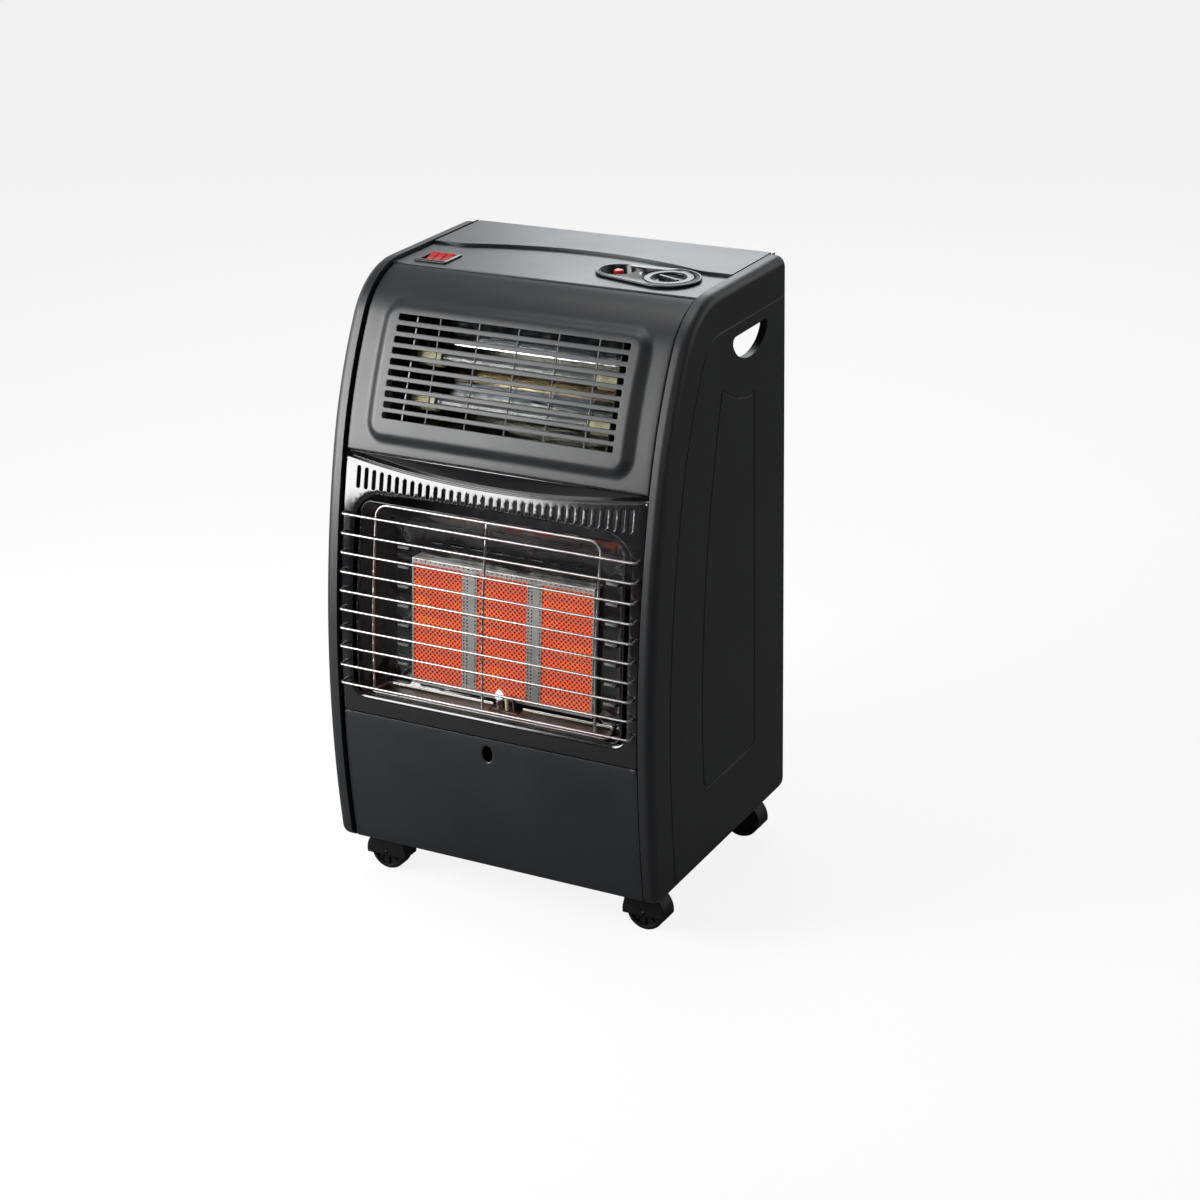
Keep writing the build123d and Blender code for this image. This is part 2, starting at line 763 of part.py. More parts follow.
with BuildPart() as gas_spindle:
    with BuildSketch(Plane.XY.offset(cup_low - knob_press)):
        with Locations((knob_x, knob_y)):
            Circle(spindle_radius)
    extrude(amount=knob_low + knob_height / 2 - cup_low + knob_press)
    with BuildSketch(Plane.XY.offset(cup_low - knob_press)):
        with Locations((knob_x, knob_y)):
            Rectangle(spindle_square, spindle_square)
    extrude(amount=-spindle_reach)
keep(gas_spindle.part, "gas_spindle")

with BuildPart() as valve_rotor:
    with BuildSketch(Plane.XY.offset(cup_low - 2 * knob_press - seat_gap)):
        with Locations((knob_x, knob_y)):
            Circle(rotor_radius)
            Rectangle(spindle_square + 0.2, spindle_square + 0.2, mode=Mode.SUBTRACT)
    extrude(amount=-rotor_length)
keep(valve_rotor.part, "valve_rotor")

with BuildPart() as valve_body:
    with Locations((knob_x, knob_y, cup_low)):
        Box(valve_width, valve_length, valve_height, align=(Align.CENTER, Align.CENTER, Align.MAX))
    fillet(valve_body.edges().filter_by(Axis.Z), 4)
    with BuildSketch(Plane.XY.offset(cup_low)):
        with Locations((knob_x, knob_y)):
            Circle(rotor_radius + running_gap)
    extrude(amount=-2 * knob_press - rotor_length - 2 * seat_gap, mode=Mode.SUBTRACT)
keep(valve_body.part, "valve_body")

nozzle_z = cup_low - valve_height / 2
with BuildPart() as hose_nozzle:
    with BuildSketch(Plane.XZ.offset(-(knob_y + valve_length / 2))):
        with Locations((knob_x, nozzle_z)):
            RegularPolygon(nozzle_hex, 6)
    extrude(amount=-nozzle_hex)
    with BuildSketch(Plane.XZ.offset(-(knob_y + valve_length / 2 + nozzle_hex))):
        with Locations((knob_x, nozzle_z)):
            Circle(nozzle_radius)
    extrude(amount=-nozzle_length)
    with BuildSketch(Plane.XZ.offset(-(knob_y + valve_length / 2))):
        with Locations((knob_x, nozzle_z)):
            Circle(nozzle_bore)
    extrude(amount=-FAR, mode=Mode.SUBTRACT)
keep(hose_nozzle.part, "hose_nozzle")

button_high = control_z + lid_rise
with BuildPart() as igniter_body:
    with BuildSketch(Plane.XY.offset(cup_low)):
        with Locations((button_x, button_y)):
            Circle(igniter_radius)
    extrude(amount=-igniter_length)
    with BuildSketch(Plane.XY.offset(cup_low)):
        with Locations((button_x, button_y)):
            Circle(button_radius + running_gap)
    extrude(amount=button_high - button_height - button_press - 1 - cup_low, mode=Mode.SUBTRACT)
keep(igniter_body.part, "igniter_body")

with BuildPart() as igniter_button:
    with BuildSketch(Plane.XY.offset(button_high)):
        with Locations((button_x, button_y)):
            Circle(button_radius)
    extrude(amount=-button_height)
    fillet(igniter_button.edges().sort_by(Axis.Z)[-1], 1.5)
keep(igniter_button.part, "igniter_button")

pivot_z = control_z - rocker_pivot_drop
with BuildPart() as switch_bezel:
    with Locations((switch_x, switch_y, control_z)):
        Box(
            switch_width + 2 * switch_rim,
            switch_length + 2 * switch_rim,
            switch_rise,
            align=(Align.CENTER, Align.CENTER, Align.MIN),
        )
        fillet(switch_bezel.edges().filter_by(Axis.Z), 2)
        chamfer(switch_bezel.faces().sort_by(Axis.Z)[-1].edges(), 0.8)
        Box(
            switch_width - 2 * switch_wall,
            switch_length - 2 * switch_wall,
            FAR,
            mode=Mode.SUBTRACT,
        )
keep(switch_bezel.part, "switch_bezel")

with BuildPart() as switch_block:
    with Locations((switch_x, switch_y, control_z)):
        Box(switch_width, switch_length, switch_depth, align=(Align.CENTER, Align.CENTER, Align.MAX))
        Box(
            switch_width - 2 * switch_wall,
            switch_length - 2 * switch_wall,
            switch_depth - 2 * switch_wall,
            align=(Align.CENTER, Align.CENTER, Align.MAX),
            mode=Mode.SUBTRACT,
        )
    with Locations((switch_x, switch_y, pivot_z)):
        Cylinder(rocker_pin_radius, switch_width, rotation=(0, 90, 0))
keep(switch_block.part, "switch_block")

for number in range(rocker_count):
    x = switch_x + (number - (rocker_count - 1) / 2) * rocker_pitch
    tilted = Plane(
        origin=(x - rocker_width / 2, switch_y, pivot_z),
        x_dir=(0, cos(radians(rocker_tilt)), sin(radians(rocker_tilt))),
        z_dir=(1, 0, 0),
    )
    reach = rocker_length / 2
    with BuildPart() as rocker:
        with BuildSketch(tilted):
            with BuildLine():
                top = ThreePointArc((-reach, rocker_high), (0, rocker_dip), (reach, rocker_high))
                keel = ThreePointArc((-reach, rocker_low), (0, 2 * rocker_low), (reach, rocker_low))
                Line(top @ 0, keel @ 0)
                Line(top @ 1, keel @ 1)
            make_face()
            Circle(rocker_pin_radius + running_gap, mode=Mode.SUBTRACT)
        extrude(amount=rocker_width)
    keep(rocker.part, f"rocker_{number + 1}")

# ==================================================================== burner
with BuildPart() as burner_frame:
    with BuildSketch(burner_plane):
        Rectangle(frame_width, frame_height)
    extrude(amount=-frame_depth)
    with BuildSketch(burner_plane.offset(-frame_plate)):
        Rectangle(frame_width - 2 * frame_plate, frame_height - 2 * frame_plate)
    extrude(amount=-frame_depth, mode=Mode.SUBTRACT)
    with BuildSketch(burner_plane):
        with GridLocations(plaque_pitch, 0, 3, 1):
            RectangleRounded(window_width, window_height, 2)
    extrude(amount=-frame_plate, mode=Mode.SUBTRACT)
keep(burner_frame.part, "burner_frame")

for shift, side in ((-1, "left"), (0, "centre"), (1, "right")):
    with BuildPart() as plaque:
        with BuildSketch(burner_plane.offset(-frame_plate)):
            with Locations((shift * plaque_pitch, 0)):
                Rectangle(plaque_width, plaque_height)
        extrude(amount=-plaque_depth)
    keep(plaque.part, f"ceramic_plaque_{side}")

plenum_front = burner_plane.offset(-frame_plate - plaque_depth)
plenum_width = 2 * plaque_pitch + plaque_width
under_plenum = Plane(
    origin=plenum_front.from_local_coords((0, -plaque_height / 2, -plenum_depth / 2)),
    x_dir=(1, 0, 0),
    z_dir=-burner_plane.y_dir,
)
with BuildPart() as burner_plenum:
    with BuildSketch(plenum_front):
        Rectangle(plenum_width, plaque_height)
    extrude(amount=-plenum_depth)
    with BuildSketch(plenum_front):
        Rectangle(plenum_width - 2 * tube_sheet, plaque_height - 2 * tube_sheet)
    extrude(amount=tube_sheet - plenum_depth, mode=Mode.SUBTRACT)
    with BuildSketch(under_plenum):
        with GridLocations(plaque_pitch, 0, 3, 1):
            Circle(venturi_radius)
    extrude(amount=venturi_length)
    with BuildSketch(under_plenum.offset(-tube_sheet)):
        with GridLocations(plaque_pitch, 0, 3, 1):
            Circle(venturi_radius - tube_sheet)
    extrude(amount=tube_sheet + venturi_length, mode=Mode.SUBTRACT)
keep(burner_plenum.part, "burner_plenum")

manifold_top = venturi_length + injector_height - injector_tip
with BuildPart() as injectors:
    with BuildSketch(under_plenum.offset(manifold_top)):
        with GridLocations(plaque_pitch, 0, 3, 1):
            RegularPolygon(injector_radius, 6)
    extrude(amount=-injector_height / 2)
    with BuildSketch(under_plenum.offset(manifold_top)):
        with GridLocations(plaque_pitch, 0, 3, 1):
            Circle(injector_radius / 2)
    extrude(amount=-injector_height)
keep(injectors.part, "injectors")

manifold_axis = under_plenum.offset(manifold_top + manifold_side / 2)
manifold_end = plaque_pitch + 2 * manifold_side
with BuildPart() as gas_manifold:
    with BuildSketch(manifold_axis):
        with Locations((manifold_end / 2 - plaque_pitch / 2 - manifold_side / 2, 0)):
            Rectangle(manifold_end + plaque_pitch + manifold_side, manifold_side)
    extrude(amount=manifold_side / 2, both=True)
    with BuildSketch(Plane(origin=manifold_axis.from_local_coords((manifold_end, 0, 0)), z_dir=(1, 0, 0))):
        Circle(pipe_radius - tube_sheet)
    extrude(amount=-manifold_end - plaque_pitch, mode=Mode.SUBTRACT)
keep(gas_manifold.part, "gas_manifold")

manifold_y = manifold_axis.origin.Y
manifold_z = manifold_axis.origin.Z
drop_y = divider_y - pipe_clearance
with BuildPart() as gas_pipe:
    with BuildLine() as run:
        FilletPolyline(
            (knob_x + valve_width / 2, knob_y, nozzle_z),
            (pipe_x, knob_y, nozzle_z),
            (pipe_x, drop_y, nozzle_z),
            (pipe_x, drop_y, manifold_z),
            (pipe_x, manifold_y, manifold_z),
            (manifold_end, manifold_y, manifold_z),
            radius=pipe_bend,
        )
    with BuildSketch(Plane(origin=run.line @ 0, z_dir=run.line % 0)):
        Circle(pipe_radius)
        Circle(pipe_radius - tube_sheet, mode=Mode.SUBTRACT)
    sweep()
keep(gas_pipe.part, "gas_pipe")


def funnel(grow):
    """The tapering space in front of the burner, grown by grow."""
    back_width = opening_width - 2 * funnel_back_margin
    with BuildPart() as cone:
        with BuildSketch(burner_plane.offset(-frame_depth)):
            with Locations((0, (funnel_back_rise - funnel_back_fall) / 2)):
                RectangleRounded(
                    back_width + 2 * grow,
                    funnel_back_rise + funnel_back_fall + 2 * grow,
                    funnel_back_corner + grow,
                )
        with BuildSketch(burner_plane.offset(funnel_mouth_depth)):
            with Locations((0, (funnel_mouth_rise - funnel_mouth_fall) / 2)):
                RectangleRounded(
                    opening_width + 2 * grow,
                    funnel_mouth_rise + funnel_mouth_fall + 2 * grow,
                    funnel_mouth_corner + grow,
                )
        loft()
    return cone.part


with BuildPart() as burner_housing:
    add(funnel(sheet))
    with BuildSketch(burner_plane.offset(-frame_depth)):
        with Locations((0, (funnel_back_rise - funnel_back_fall) / 2)):
            RectangleRounded(
                opening_width - 2 * funnel_back_margin + 2 * sheet,
                funnel_back_rise + funnel_back_fall + 2 * sheet,
                funnel_back_corner + sheet,
            )
    extrude(amount=-sheet)
    add(funnel(0), mode=Mode.SUBTRACT)
    with BuildSketch(Plane.YZ):
        add(side_view(panel_inset + opening_lip_depth + seat_gap, floor=floor_gap - 20))
    extrude(amount=half_width, both=True, mode=Mode.INTERSECT)
    with BuildSketch(burner_plane.offset(-frame_depth - sheet)):
        Rectangle(plenum_width + 2 * seat_gap, plaque_height + 2 * seat_gap)
        with GridLocations(opening_width - 2 * funnel_back_margin - 28, louvre_pitch, 2, louvre_count):
            SlotOverall(louvre_length, louvre_height)
        with Locations((0, (funnel_back_rise + frame_height / 2) / 2)):
            with GridLocations(1.6 * louvre_length, 0, louvre_count, 1):
                SlotOverall(louvre_length, louvre_height)
    extrude(amount=sheet, mode=Mode.SUBTRACT)
keep(burner_housing.part, "burner_housing")

floor_start = burner_plane.from_local_coords((0, -funnel_back_fall, -frame_depth))
floor_end = burner_plane.from_local_coords((0, -funnel_mouth_fall, funnel_mouth_depth))
floor_plane = Plane(
    origin=floor_start, x_dir=(1, 0, 0), z_dir=(floor_end - floor_start).cross(Vector(1, 0, 0))
)


def drip_outline(inner):
    """The drip tray from above, narrower at the back, moved in by inner."""
    back = -frame_depth - 1 - inner
    front = -frame_depth - 1 - drip_tray_depth + inner
    wide = drip_tray_width / 2 - inner
    with BuildSketch() as outline:
        Polygon(
            (-wide, front), (wide, front), (wide - drip_tray_taper, back), (drip_tray_taper - wide, back),
            align=None,
        )
        fillet(outline.vertices(), drip_tray_corner - inner)
    return outline.sketch


with BuildPart() as drip_tray:
    with BuildSketch(floor_plane):
        add(drip_outline(0))
    extrude(amount=drip_tray_rise)
    with BuildSketch(floor_plane.offset(reflector_sheet)):
        add(drip_outline(reflector_sheet))
    extrude(amount=drip_tray_rise, mode=Mode.SUBTRACT)
    with BuildSketch(floor_plane):
        with Locations((pilot_x, -frame_depth - 1)):
            Rectangle(pilot_notch_width, 2 * pilot_notch_depth)
    extrude(amount=drip_tray_rise, mode=Mode.SUBTRACT)
keep(drip_tray.part, "drip_tray")

pilot_y = -frame_depth - pilot_notch_depth / 2
with BuildPart() as pilot_burner:
    with BuildSketch(floor_plane):
        with Locations((pilot_x, pilot_y)):
            Rectangle(pilot_notch_width - 4, pilot_notch_depth - 3)
    extrude(amount=tube_sheet)
    with BuildSketch(floor_plane.offset(tube_sheet)):
        with Locations((pilot_x - 8, pilot_y)):
            Circle(pilot_radius)
    extrude(amount=pilot_height)
    fillet(pilot_burner.edges().group_by(Axis.Z)[-1], pilot_radius / 2)
keep(pilot_burner.part, "pilot_burner")

for shift, radius, height, name in (
    (2.0, 2.5, 15.0, "spark_electrode"),
    (11.0, 2.0, 18.0, "thermocouple"),
):
    with BuildPart() as probe:
        with BuildSketch(floor_plane.offset(tube_sheet)):
            with Locations((pilot_x + shift, pilot_y)):
                Circle(radius)
        extrude(amount=height)
        fillet(probe.edges().group_by(Axis.Z)[-1], radius / 2)
    keep(probe.part, name)

# ===================================================================== guard
guard_high = top_z - guard_top_drop
guard_low = guard_high - (guard_wires - 1) * guard_pitch
guard_stand = front_at(guard_low) + overall_depth / 2 - guard_wire_radius


def guard_y(z, behind=0.0):
    """Y of a guard wire's axis at height z."""
    return front_at(z) - guard_stand + behind


def curved_wire(x, low, high, behind):
    """An edge that follows the front curve at x between two heights."""
    middle = (low + high) / 2
    return ThreePointArc(
        (x, guard_y(low, behind), low),
        (x, guard_y(middle, behind), middle),
        (x, guard_y(high, behind), high),
    )


hoop_behind = 2 * guard_wire_radius - guard_weld
hoop_x = panel_half - guard_hoop_margin
hoop_top = guard_high + guard_hoop_rise
with BuildPart() as guard:
    for row in range(guard_wires):
        height = guard_high - row * guard_pitch
        inner = front_at(height, panel_inset + sheet) + guard_tail
        with BuildLine() as bar:
            FilletPolyline(
                (-guard_width / 2, inner, height),
                (-guard_width / 2, guard_y(height), height),
                (guard_width / 2, guard_y(height), height),
                (guard_width / 2, inner, height),
                radius=guard_bend,
            )
        with BuildSketch(Plane(origin=bar.line @ 0, z_dir=bar.line % 0)):
            Circle(guard_wire_radius)
        sweep(path=bar.line)
    with BuildLine() as upright:
        curved_wire(0, guard_low - guard_wire_radius, hoop_top, hoop_behind)
    with BuildSketch(Plane(origin=upright.line @ 0, z_dir=upright.line % 0)):
        Circle(guard_wire_radius)
    sweep(path=upright.line)
    with BuildLine() as hoop:
        knee = hoop_top - guard_hoop_corner
        left = curved_wire(-hoop_x, guard_low - guard_wire_radius, knee, hoop_behind)
        lift = (left % 1) * guard_hoop_corner
        turn = (left @ 1) + lift + Vector(guard_hoop_corner, 0, 0)
        first = TangentArc(left @ 1, turn, tangent=left % 1)
        Line(turn, (-turn.X, turn.Y, turn.Z))
        TangentArc((-turn.X, turn.Y, turn.Z), (hoop_x, (left @ 1).Y, knee), tangent=(1, 0, 0))
        curved_wire(hoop_x, guard_low - guard_wire_radius, knee, hoop_behind)
    with BuildSketch(Plane(origin=left @ 0, z_dir=left % 0)):
        Circle(guard_wire_radius)
    sweep(path=hoop.line)
keep(guard.part, "guard")

# ============================================================= electric heater
def behind_front(point):
    """Turn (distance behind the front, drop below the top) into y and z."""
    return (front_y + point[0], top_z - point[1])


heater_half = tube_length / 2 + ceramic_length - ceramic_grip
with BuildPart() as quartz_tubes:
    with BuildSketch(Plane.YZ):
        with Locations(behind_front(upper_tube), behind_front(lower_tube)):
            Circle(tube_radius)
            Circle(tube_radius - tube_wall, mode=Mode.SUBTRACT)
    extrude(amount=tube_length / 2, both=True)
keep(quartz_tubes.part, "quartz_tubes")

with BuildPart() as heating_coils:
    with BuildSketch(Plane.YZ):
        with Locations(behind_front(upper_tube), behind_front(lower_tube)):
            Circle(coil_radius)
    extrude(amount=tube_length / 2, both=True)
keep(heating_coils.part, "heating_coils")

with BuildPart() as tube_holders:
    for side in (-1, 1):
        with BuildSketch(Plane.YZ.offset(side * heater_half)):
            with Locations(behind_front(upper_tube), behind_front(lower_tube)):
                Circle(ceramic_radius)
        extrude(amount=-side * ceramic_length)
        with BuildSketch(Plane.YZ.offset(side * tube_length / 2)):
            with Locations(behind_front(upper_tube), behind_front(lower_tube)):
                Circle(tube_radius + running_gap)
        extrude(amount=-side * ceramic_length, mode=Mode.SUBTRACT)
keep(tube_holders.part, "tube_holders")

corners = [behind_front(corner) for corner in reflector_corners]
fold = [behind_front(corner) for corner in cheek_corners]
with BuildPart() as electric_reflector:
    with BuildSketch(Plane.YZ):
        with BuildLine() as bend:
            Polyline(*corners)
            offset(amount=reflector_sheet, side=Side.LEFT)
        make_face()
    extrude(amount=heater_half + cheek_sheet, both=True)
    for side in (-1, 1):
        with BuildSketch(Plane.YZ.offset(side * heater_half)):
            with BuildLine():
                Polyline(*corners, *reversed(fold), close=True)
            make_face()
        extrude(amount=side * cheek_sheet)
keep(electric_reflector.part, "electric_reflector")

with BuildPart() as safety_wires:
    ends = [behind_front(bar) for bar in safety_bars]
    with BuildSketch(Plane.YZ):
        with Locations(*ends):
            Circle(guard_wire_radius)
    extrude(amount=heater_half, both=True)
    for x in safety_wire_x:
        start, stop = Vector(x, *ends[1]), Vector(x, *ends[0])
        with BuildSketch(Plane(origin=start, z_dir=stop - start)):
            Circle(safety_wire_radius)
        extrude(amount=(stop - start).length)
keep(safety_wires.part, "safety_wires")

# ============================================== base tray, divider, rear cover
tray_front = front_at(tray_z, panel_inset + sheet) + seat_gap
tray_back = rear_y - tray_rear
with BuildPart() as base_tray:
    with Locations((0, tray_front, tray_z)):
        Box(
            2 * band_inner,
            tray_back - tray_front,
            tray_upstand,
            align=(Align.CENTER, Align.MIN, Align.MIN),
        )
    with Locations((0, tray_front - 1, tray_top)):
        Box(
            2 * (band_inner - tray_sheet),
            tray_back - tray_sheet - tray_front + 1,
            tray_upstand,
            align=(Align.CENTER, Align.MIN, Align.MIN),
            mode=Mode.SUBTRACT,
        )
    with BuildSketch(Plane.XY.offset(tray_top)):
        with Locations((0, rear_y - bottle_back)):
            Circle(bottle_ring_radius)
            Circle(bottle_ring_radius - 3, mode=Mode.SUBTRACT)
    extrude(amount=bottle_ring_rise)
    with BuildSketch(Plane.XY.offset(tray_z)):
        for side in (-1, 1):
            with Locations((side * band_inner, tray_front)):
                Rectangle(2 * (side_gap + sheet + seat_gap), 2 * (flange + seat_gap))
        with Locations((0, rear_y - bottle_back)):
            with GridLocations(1.5 * tray_slot_length, 6 * tray_slot_width, 3, 2):
                SlotOverall(tray_slot_length, tray_slot_width)
        for y in (castor_front_y, castor_rear_y):
            with Locations((0, y)):
                with GridLocations(2 * (panel_half - castor_margin), 0, 2, 1):
                    Circle(socket_radius + seat_gap)
    extrude(amount=tray_upstand, mode=Mode.SUBTRACT)
keep(base_tray.part, "base_tray")

step_z = top_z - divider_step_drop
with BuildPart() as divider_wall:
    with BuildSketch(Plane.YZ):
        with BuildLine():
            Polyline(
                (divider_y, tray_top),
                (divider_y, step_z - 16),
                (divider_y + divider_step, step_z),
                (divider_y + divider_step, top_z - divider_top_drop),
            )
            offset(amount=sheet, side=Side.RIGHT)
        make_face()
    extrude(amount=band_inner - tray_sheet, both=True)
    with BuildSketch(Plane.XZ.offset(-divider_y - divider_step - 5)):
        with Locations((pipe_x, nozzle_z)):
            Circle(pipe_radius + 2)
    extrude(amount=10, mode=Mode.SUBTRACT)
keep(divider_wall.part, "divider_wall")

cover_y = rear_y - rear_cover_back
rail_y = rear_y - rear_rail_back
with BuildPart() as rear_cover:
    with Locations((0, cover_y + sheet, rear_cover_low)):
        Box(
            2 * panel_half,
            rear_cover_fold,
            rear_cover_high - rear_cover_low,
            align=(Align.CENTER, Align.MAX, Align.MIN),
        )
    with Locations((0, cover_y, 0)):
        Box(
            2 * (panel_half - sheet),
            2 * rear_cover_fold,
            FAR,
            align=(Align.CENTER, Align.MAX, Align.CENTER),
            mode=Mode.SUBTRACT,
        )
    with BuildSketch(Plane.XZ.offset(-cover_y)):
        with Locations((0, (rear_cover_low + rear_cover_high) / 2)):
            with GridLocations(rear_cover_slot + 30, 24, 2, rear_cover_slots):
                SlotOverall(rear_cover_slot, tray_slot_width)
    extrude(amount=-sheet, mode=Mode.SUBTRACT)
    for side in (-1, 1):
        with Locations((side * panel_half / 2, rail_y - sheet - 2 * seat_gap, rear_cover_high + sheet)):
            Box(
                hook_width,
                cover_y - rail_y + 2 * (sheet + seat_gap),
                sheet,
                align=(Align.CENTER, Align.MIN, Align.MAX),
            )
            Box(hook_width, sheet, hook_drop, align=(Align.CENTER, Align.MIN, Align.MAX))
keep(rear_cover.part, "rear_cover")

# ============================================ mains side, on the base tray
with BuildPart() as tilt_switch:
    with Locations((castor_margin + 40 - panel_half, divider_y - 25, tray_top)):
        Box(30, 20, 25, align=(Align.CENTER, Align.CENTER, Align.MIN))
        fillet(tilt_switch.edges().filter_by(Axis.Z), 2)
keep(tilt_switch.part, "tilt_switch")

box_x = -panel_half + 4
box_y = castor_rear_y - 28
with BuildPart() as terminal_box:
    with Locations((box_x, box_y, tray_top)):
        Box(
            terminal_length,
            terminal_depth,
            terminal_height,
            align=(Align.MIN, Align.MAX, Align.MIN),
        )
    fillet(terminal_box.edges().filter_by(Axis.Z), 3)
keep(terminal_box.part, "terminal_box")

gland_x = box_x + terminal_length - gland_radius - 4
gland_z = tray_top + terminal_height - gland_radius - 3
with BuildPart() as mains_gland:
    with BuildSketch(Plane.XZ.offset(-box_y)):
        with Locations((gland_x, gland_z)):
            RegularPolygon(gland_radius, 6)
    extrude(amount=-gland_length / 2)
    with BuildSketch(Plane.XZ.offset(-box_y)):
        with Locations((gland_x, gland_z)):
            Circle(gland_radius - 2)
    extrude(amount=-gland_length)
    with BuildSketch(Plane.XZ.offset(-box_y)):
        with Locations((gland_x, gland_z)):
            Circle(gland_bore)
    extrude(amount=-gland_length, mode=Mode.SUBTRACT)
keep(mains_gland.part, "mains_gland")

# ================================================================== castors
castor_x = panel_half - castor_margin
castor_places = (
    (1, castor_front_y, "front_right"),
    (-1, castor_front_y, "front_left"),
    (1, castor_rear_y, "rear_right"),
    (-1, castor_rear_y, "rear_left"),
)
stem_high = tray_z - socket_sheet + stem_length
with BuildPart() as castor_sockets:
    for side, y, place in castor_places:
        with BuildSketch(Plane.XY.offset(tray_z)):
            with Locations((side * castor_x, y)):
                RectangleRounded(socket_plate, socket_plate, 5)
        extrude(amount=-socket_sheet)
        with BuildSketch(Plane.XY.offset(tray_z - socket_sheet)):
            with Locations((side * castor_x, y)):
                Circle(socket_radius)
        extrude(amount=socket_height)
        with BuildSketch(Plane.XY.offset(tray_z - socket_sheet)):
            with Locations((side * castor_x, y)):
                Circle(stem_radius + running_gap)
        extrude(amount=stem_length + seat_gap, mode=Mode.SUBTRACT)
keep(castor_sockets.part, "castor_sockets")

for side, y, place in castor_places:
    axle_x = side * (castor_x + castor_trail)
    fork_half = wheel_width / 2 + wheel_gap + fork_sheet
    with BuildPart() as fork:
        with BuildSketch(Plane.XZ.offset(-y)):
            with Locations((axle_x, wheel_radius)):
                Circle(hood_radius)
            with Locations((side * castor_x, wheel_radius + hood_radius)):
                Rectangle(2 * collar_radius, 2)
            make_hull()
            with Locations((0, wheel_radius - hood_skirt)):
                Rectangle(FAR, FAR, align=(Align.CENTER, Align.MAX), mode=Mode.SUBTRACT)
        extrude(amount=fork_half, both=True)
        fillet(fork.edges().filter_by(GeomType.CIRCLE), 1.5)
        with BuildSketch(Plane.XZ.offset(-y)):
            with Locations((axle_x, wheel_radius)):
                Circle(wheel_radius + hood_gap)
            with Locations((axle_x, 0)):
                Rectangle(2 * (wheel_radius + hood_gap), 2 * wheel_radius)
        extrude(amount=fork_half - fork_sheet, both=True, mode=Mode.SUBTRACT)
        with BuildSketch(Plane.XZ.offset(-y)):
            with Locations((axle_x, wheel_radius)):
                Circle(axle_radius)
        extrude(amount=fork_half, both=True, mode=Mode.SUBTRACT)
        with BuildSketch(Plane.XY.offset(wheel_radius + hood_radius)):
            with Locations((side * castor_x, y)):
                Circle(collar_radius)
        extrude(amount=tray_z - socket_sheet - seat_gap - wheel_radius - hood_radius)
        with BuildSketch(Plane.XY.offset(wheel_radius + hood_radius)):
            with Locations((side * castor_x, y)):
                Circle(stem_radius)
        extrude(amount=stem_high - wheel_radius - hood_radius)
    keep(fork.part, f"castor_fork_{place}")
    with BuildPart() as axle:
        with BuildSketch(Plane.XZ.offset(-y)):
            with Locations((axle_x, wheel_radius)):
                Circle(axle_radius)
        extrude(amount=fork_half, both=True)
    keep(axle.part, f"castor_axle_{place}")
    with BuildPart() as wheel:
        with BuildSketch(Plane.XZ.offset(-y)):
            with Locations((axle_x, wheel_radius)):
                Circle(wheel_radius)
        extrude(amount=wheel_width / 2, both=True)
        fillet(wheel.edges(), 3)
        with BuildSketch(Plane.XZ.offset(-y)):
            with Locations((axle_x, wheel_radius)):
                Circle(axle_radius + running_gap)
        extrude(amount=wheel_width / 2, both=True, mode=Mode.SUBTRACT)
    keep(wheel.part, f"castor_wheel_{place}")

if __name__ == "__main__":
    os.makedirs("parts", exist_ok=True)
    for name, part in finished.items():
        export_step(part, f"parts/{name}.step")
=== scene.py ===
"""Finished surfaces and studio for a portable cabinet heater on swivel castors.

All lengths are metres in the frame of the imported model: +Z up, the front faces -Y,
X runs across, and the origin lies on the floor under the middle of the heater.
"""

import json
from contextlib import contextmanager
from math import asin, cos, pi, radians, sin, sqrt

import bmesh
import bpy
import numpy as np
from bpy.props import FloatProperty, FloatVectorProperty, IntProperty, PointerProperty
from mathutils import Matrix, Vector
from mathutils.geometry import delaunay_2d_cdt

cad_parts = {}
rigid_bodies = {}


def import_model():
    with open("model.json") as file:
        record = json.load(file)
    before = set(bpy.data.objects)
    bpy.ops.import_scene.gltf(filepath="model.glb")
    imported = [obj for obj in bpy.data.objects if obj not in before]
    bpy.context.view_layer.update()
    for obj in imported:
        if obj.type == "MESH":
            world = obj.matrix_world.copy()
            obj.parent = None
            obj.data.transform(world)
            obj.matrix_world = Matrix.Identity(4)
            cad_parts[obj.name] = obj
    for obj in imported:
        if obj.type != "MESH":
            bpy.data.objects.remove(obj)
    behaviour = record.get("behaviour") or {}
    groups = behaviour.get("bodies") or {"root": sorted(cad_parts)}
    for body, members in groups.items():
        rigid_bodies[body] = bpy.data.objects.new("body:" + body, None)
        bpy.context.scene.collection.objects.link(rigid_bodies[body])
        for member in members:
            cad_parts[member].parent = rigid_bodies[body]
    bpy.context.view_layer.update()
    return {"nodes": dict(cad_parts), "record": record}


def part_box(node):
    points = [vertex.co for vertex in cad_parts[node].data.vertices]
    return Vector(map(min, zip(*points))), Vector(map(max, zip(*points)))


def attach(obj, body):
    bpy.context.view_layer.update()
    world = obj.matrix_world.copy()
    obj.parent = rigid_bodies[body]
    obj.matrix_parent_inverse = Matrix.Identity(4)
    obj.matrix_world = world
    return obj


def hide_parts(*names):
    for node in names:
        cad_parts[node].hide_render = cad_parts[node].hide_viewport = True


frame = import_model()

bl_info = {
    "name": "Portable cabinet heater",
    "version": (1, 0, 0),
    "blender": (4, 5, 0),
    "location": "3D View > Sidebar > Heater",
    "description": "Builds the finished surfaces and the studio of a cabinet heater",
    "category": "Object",
}

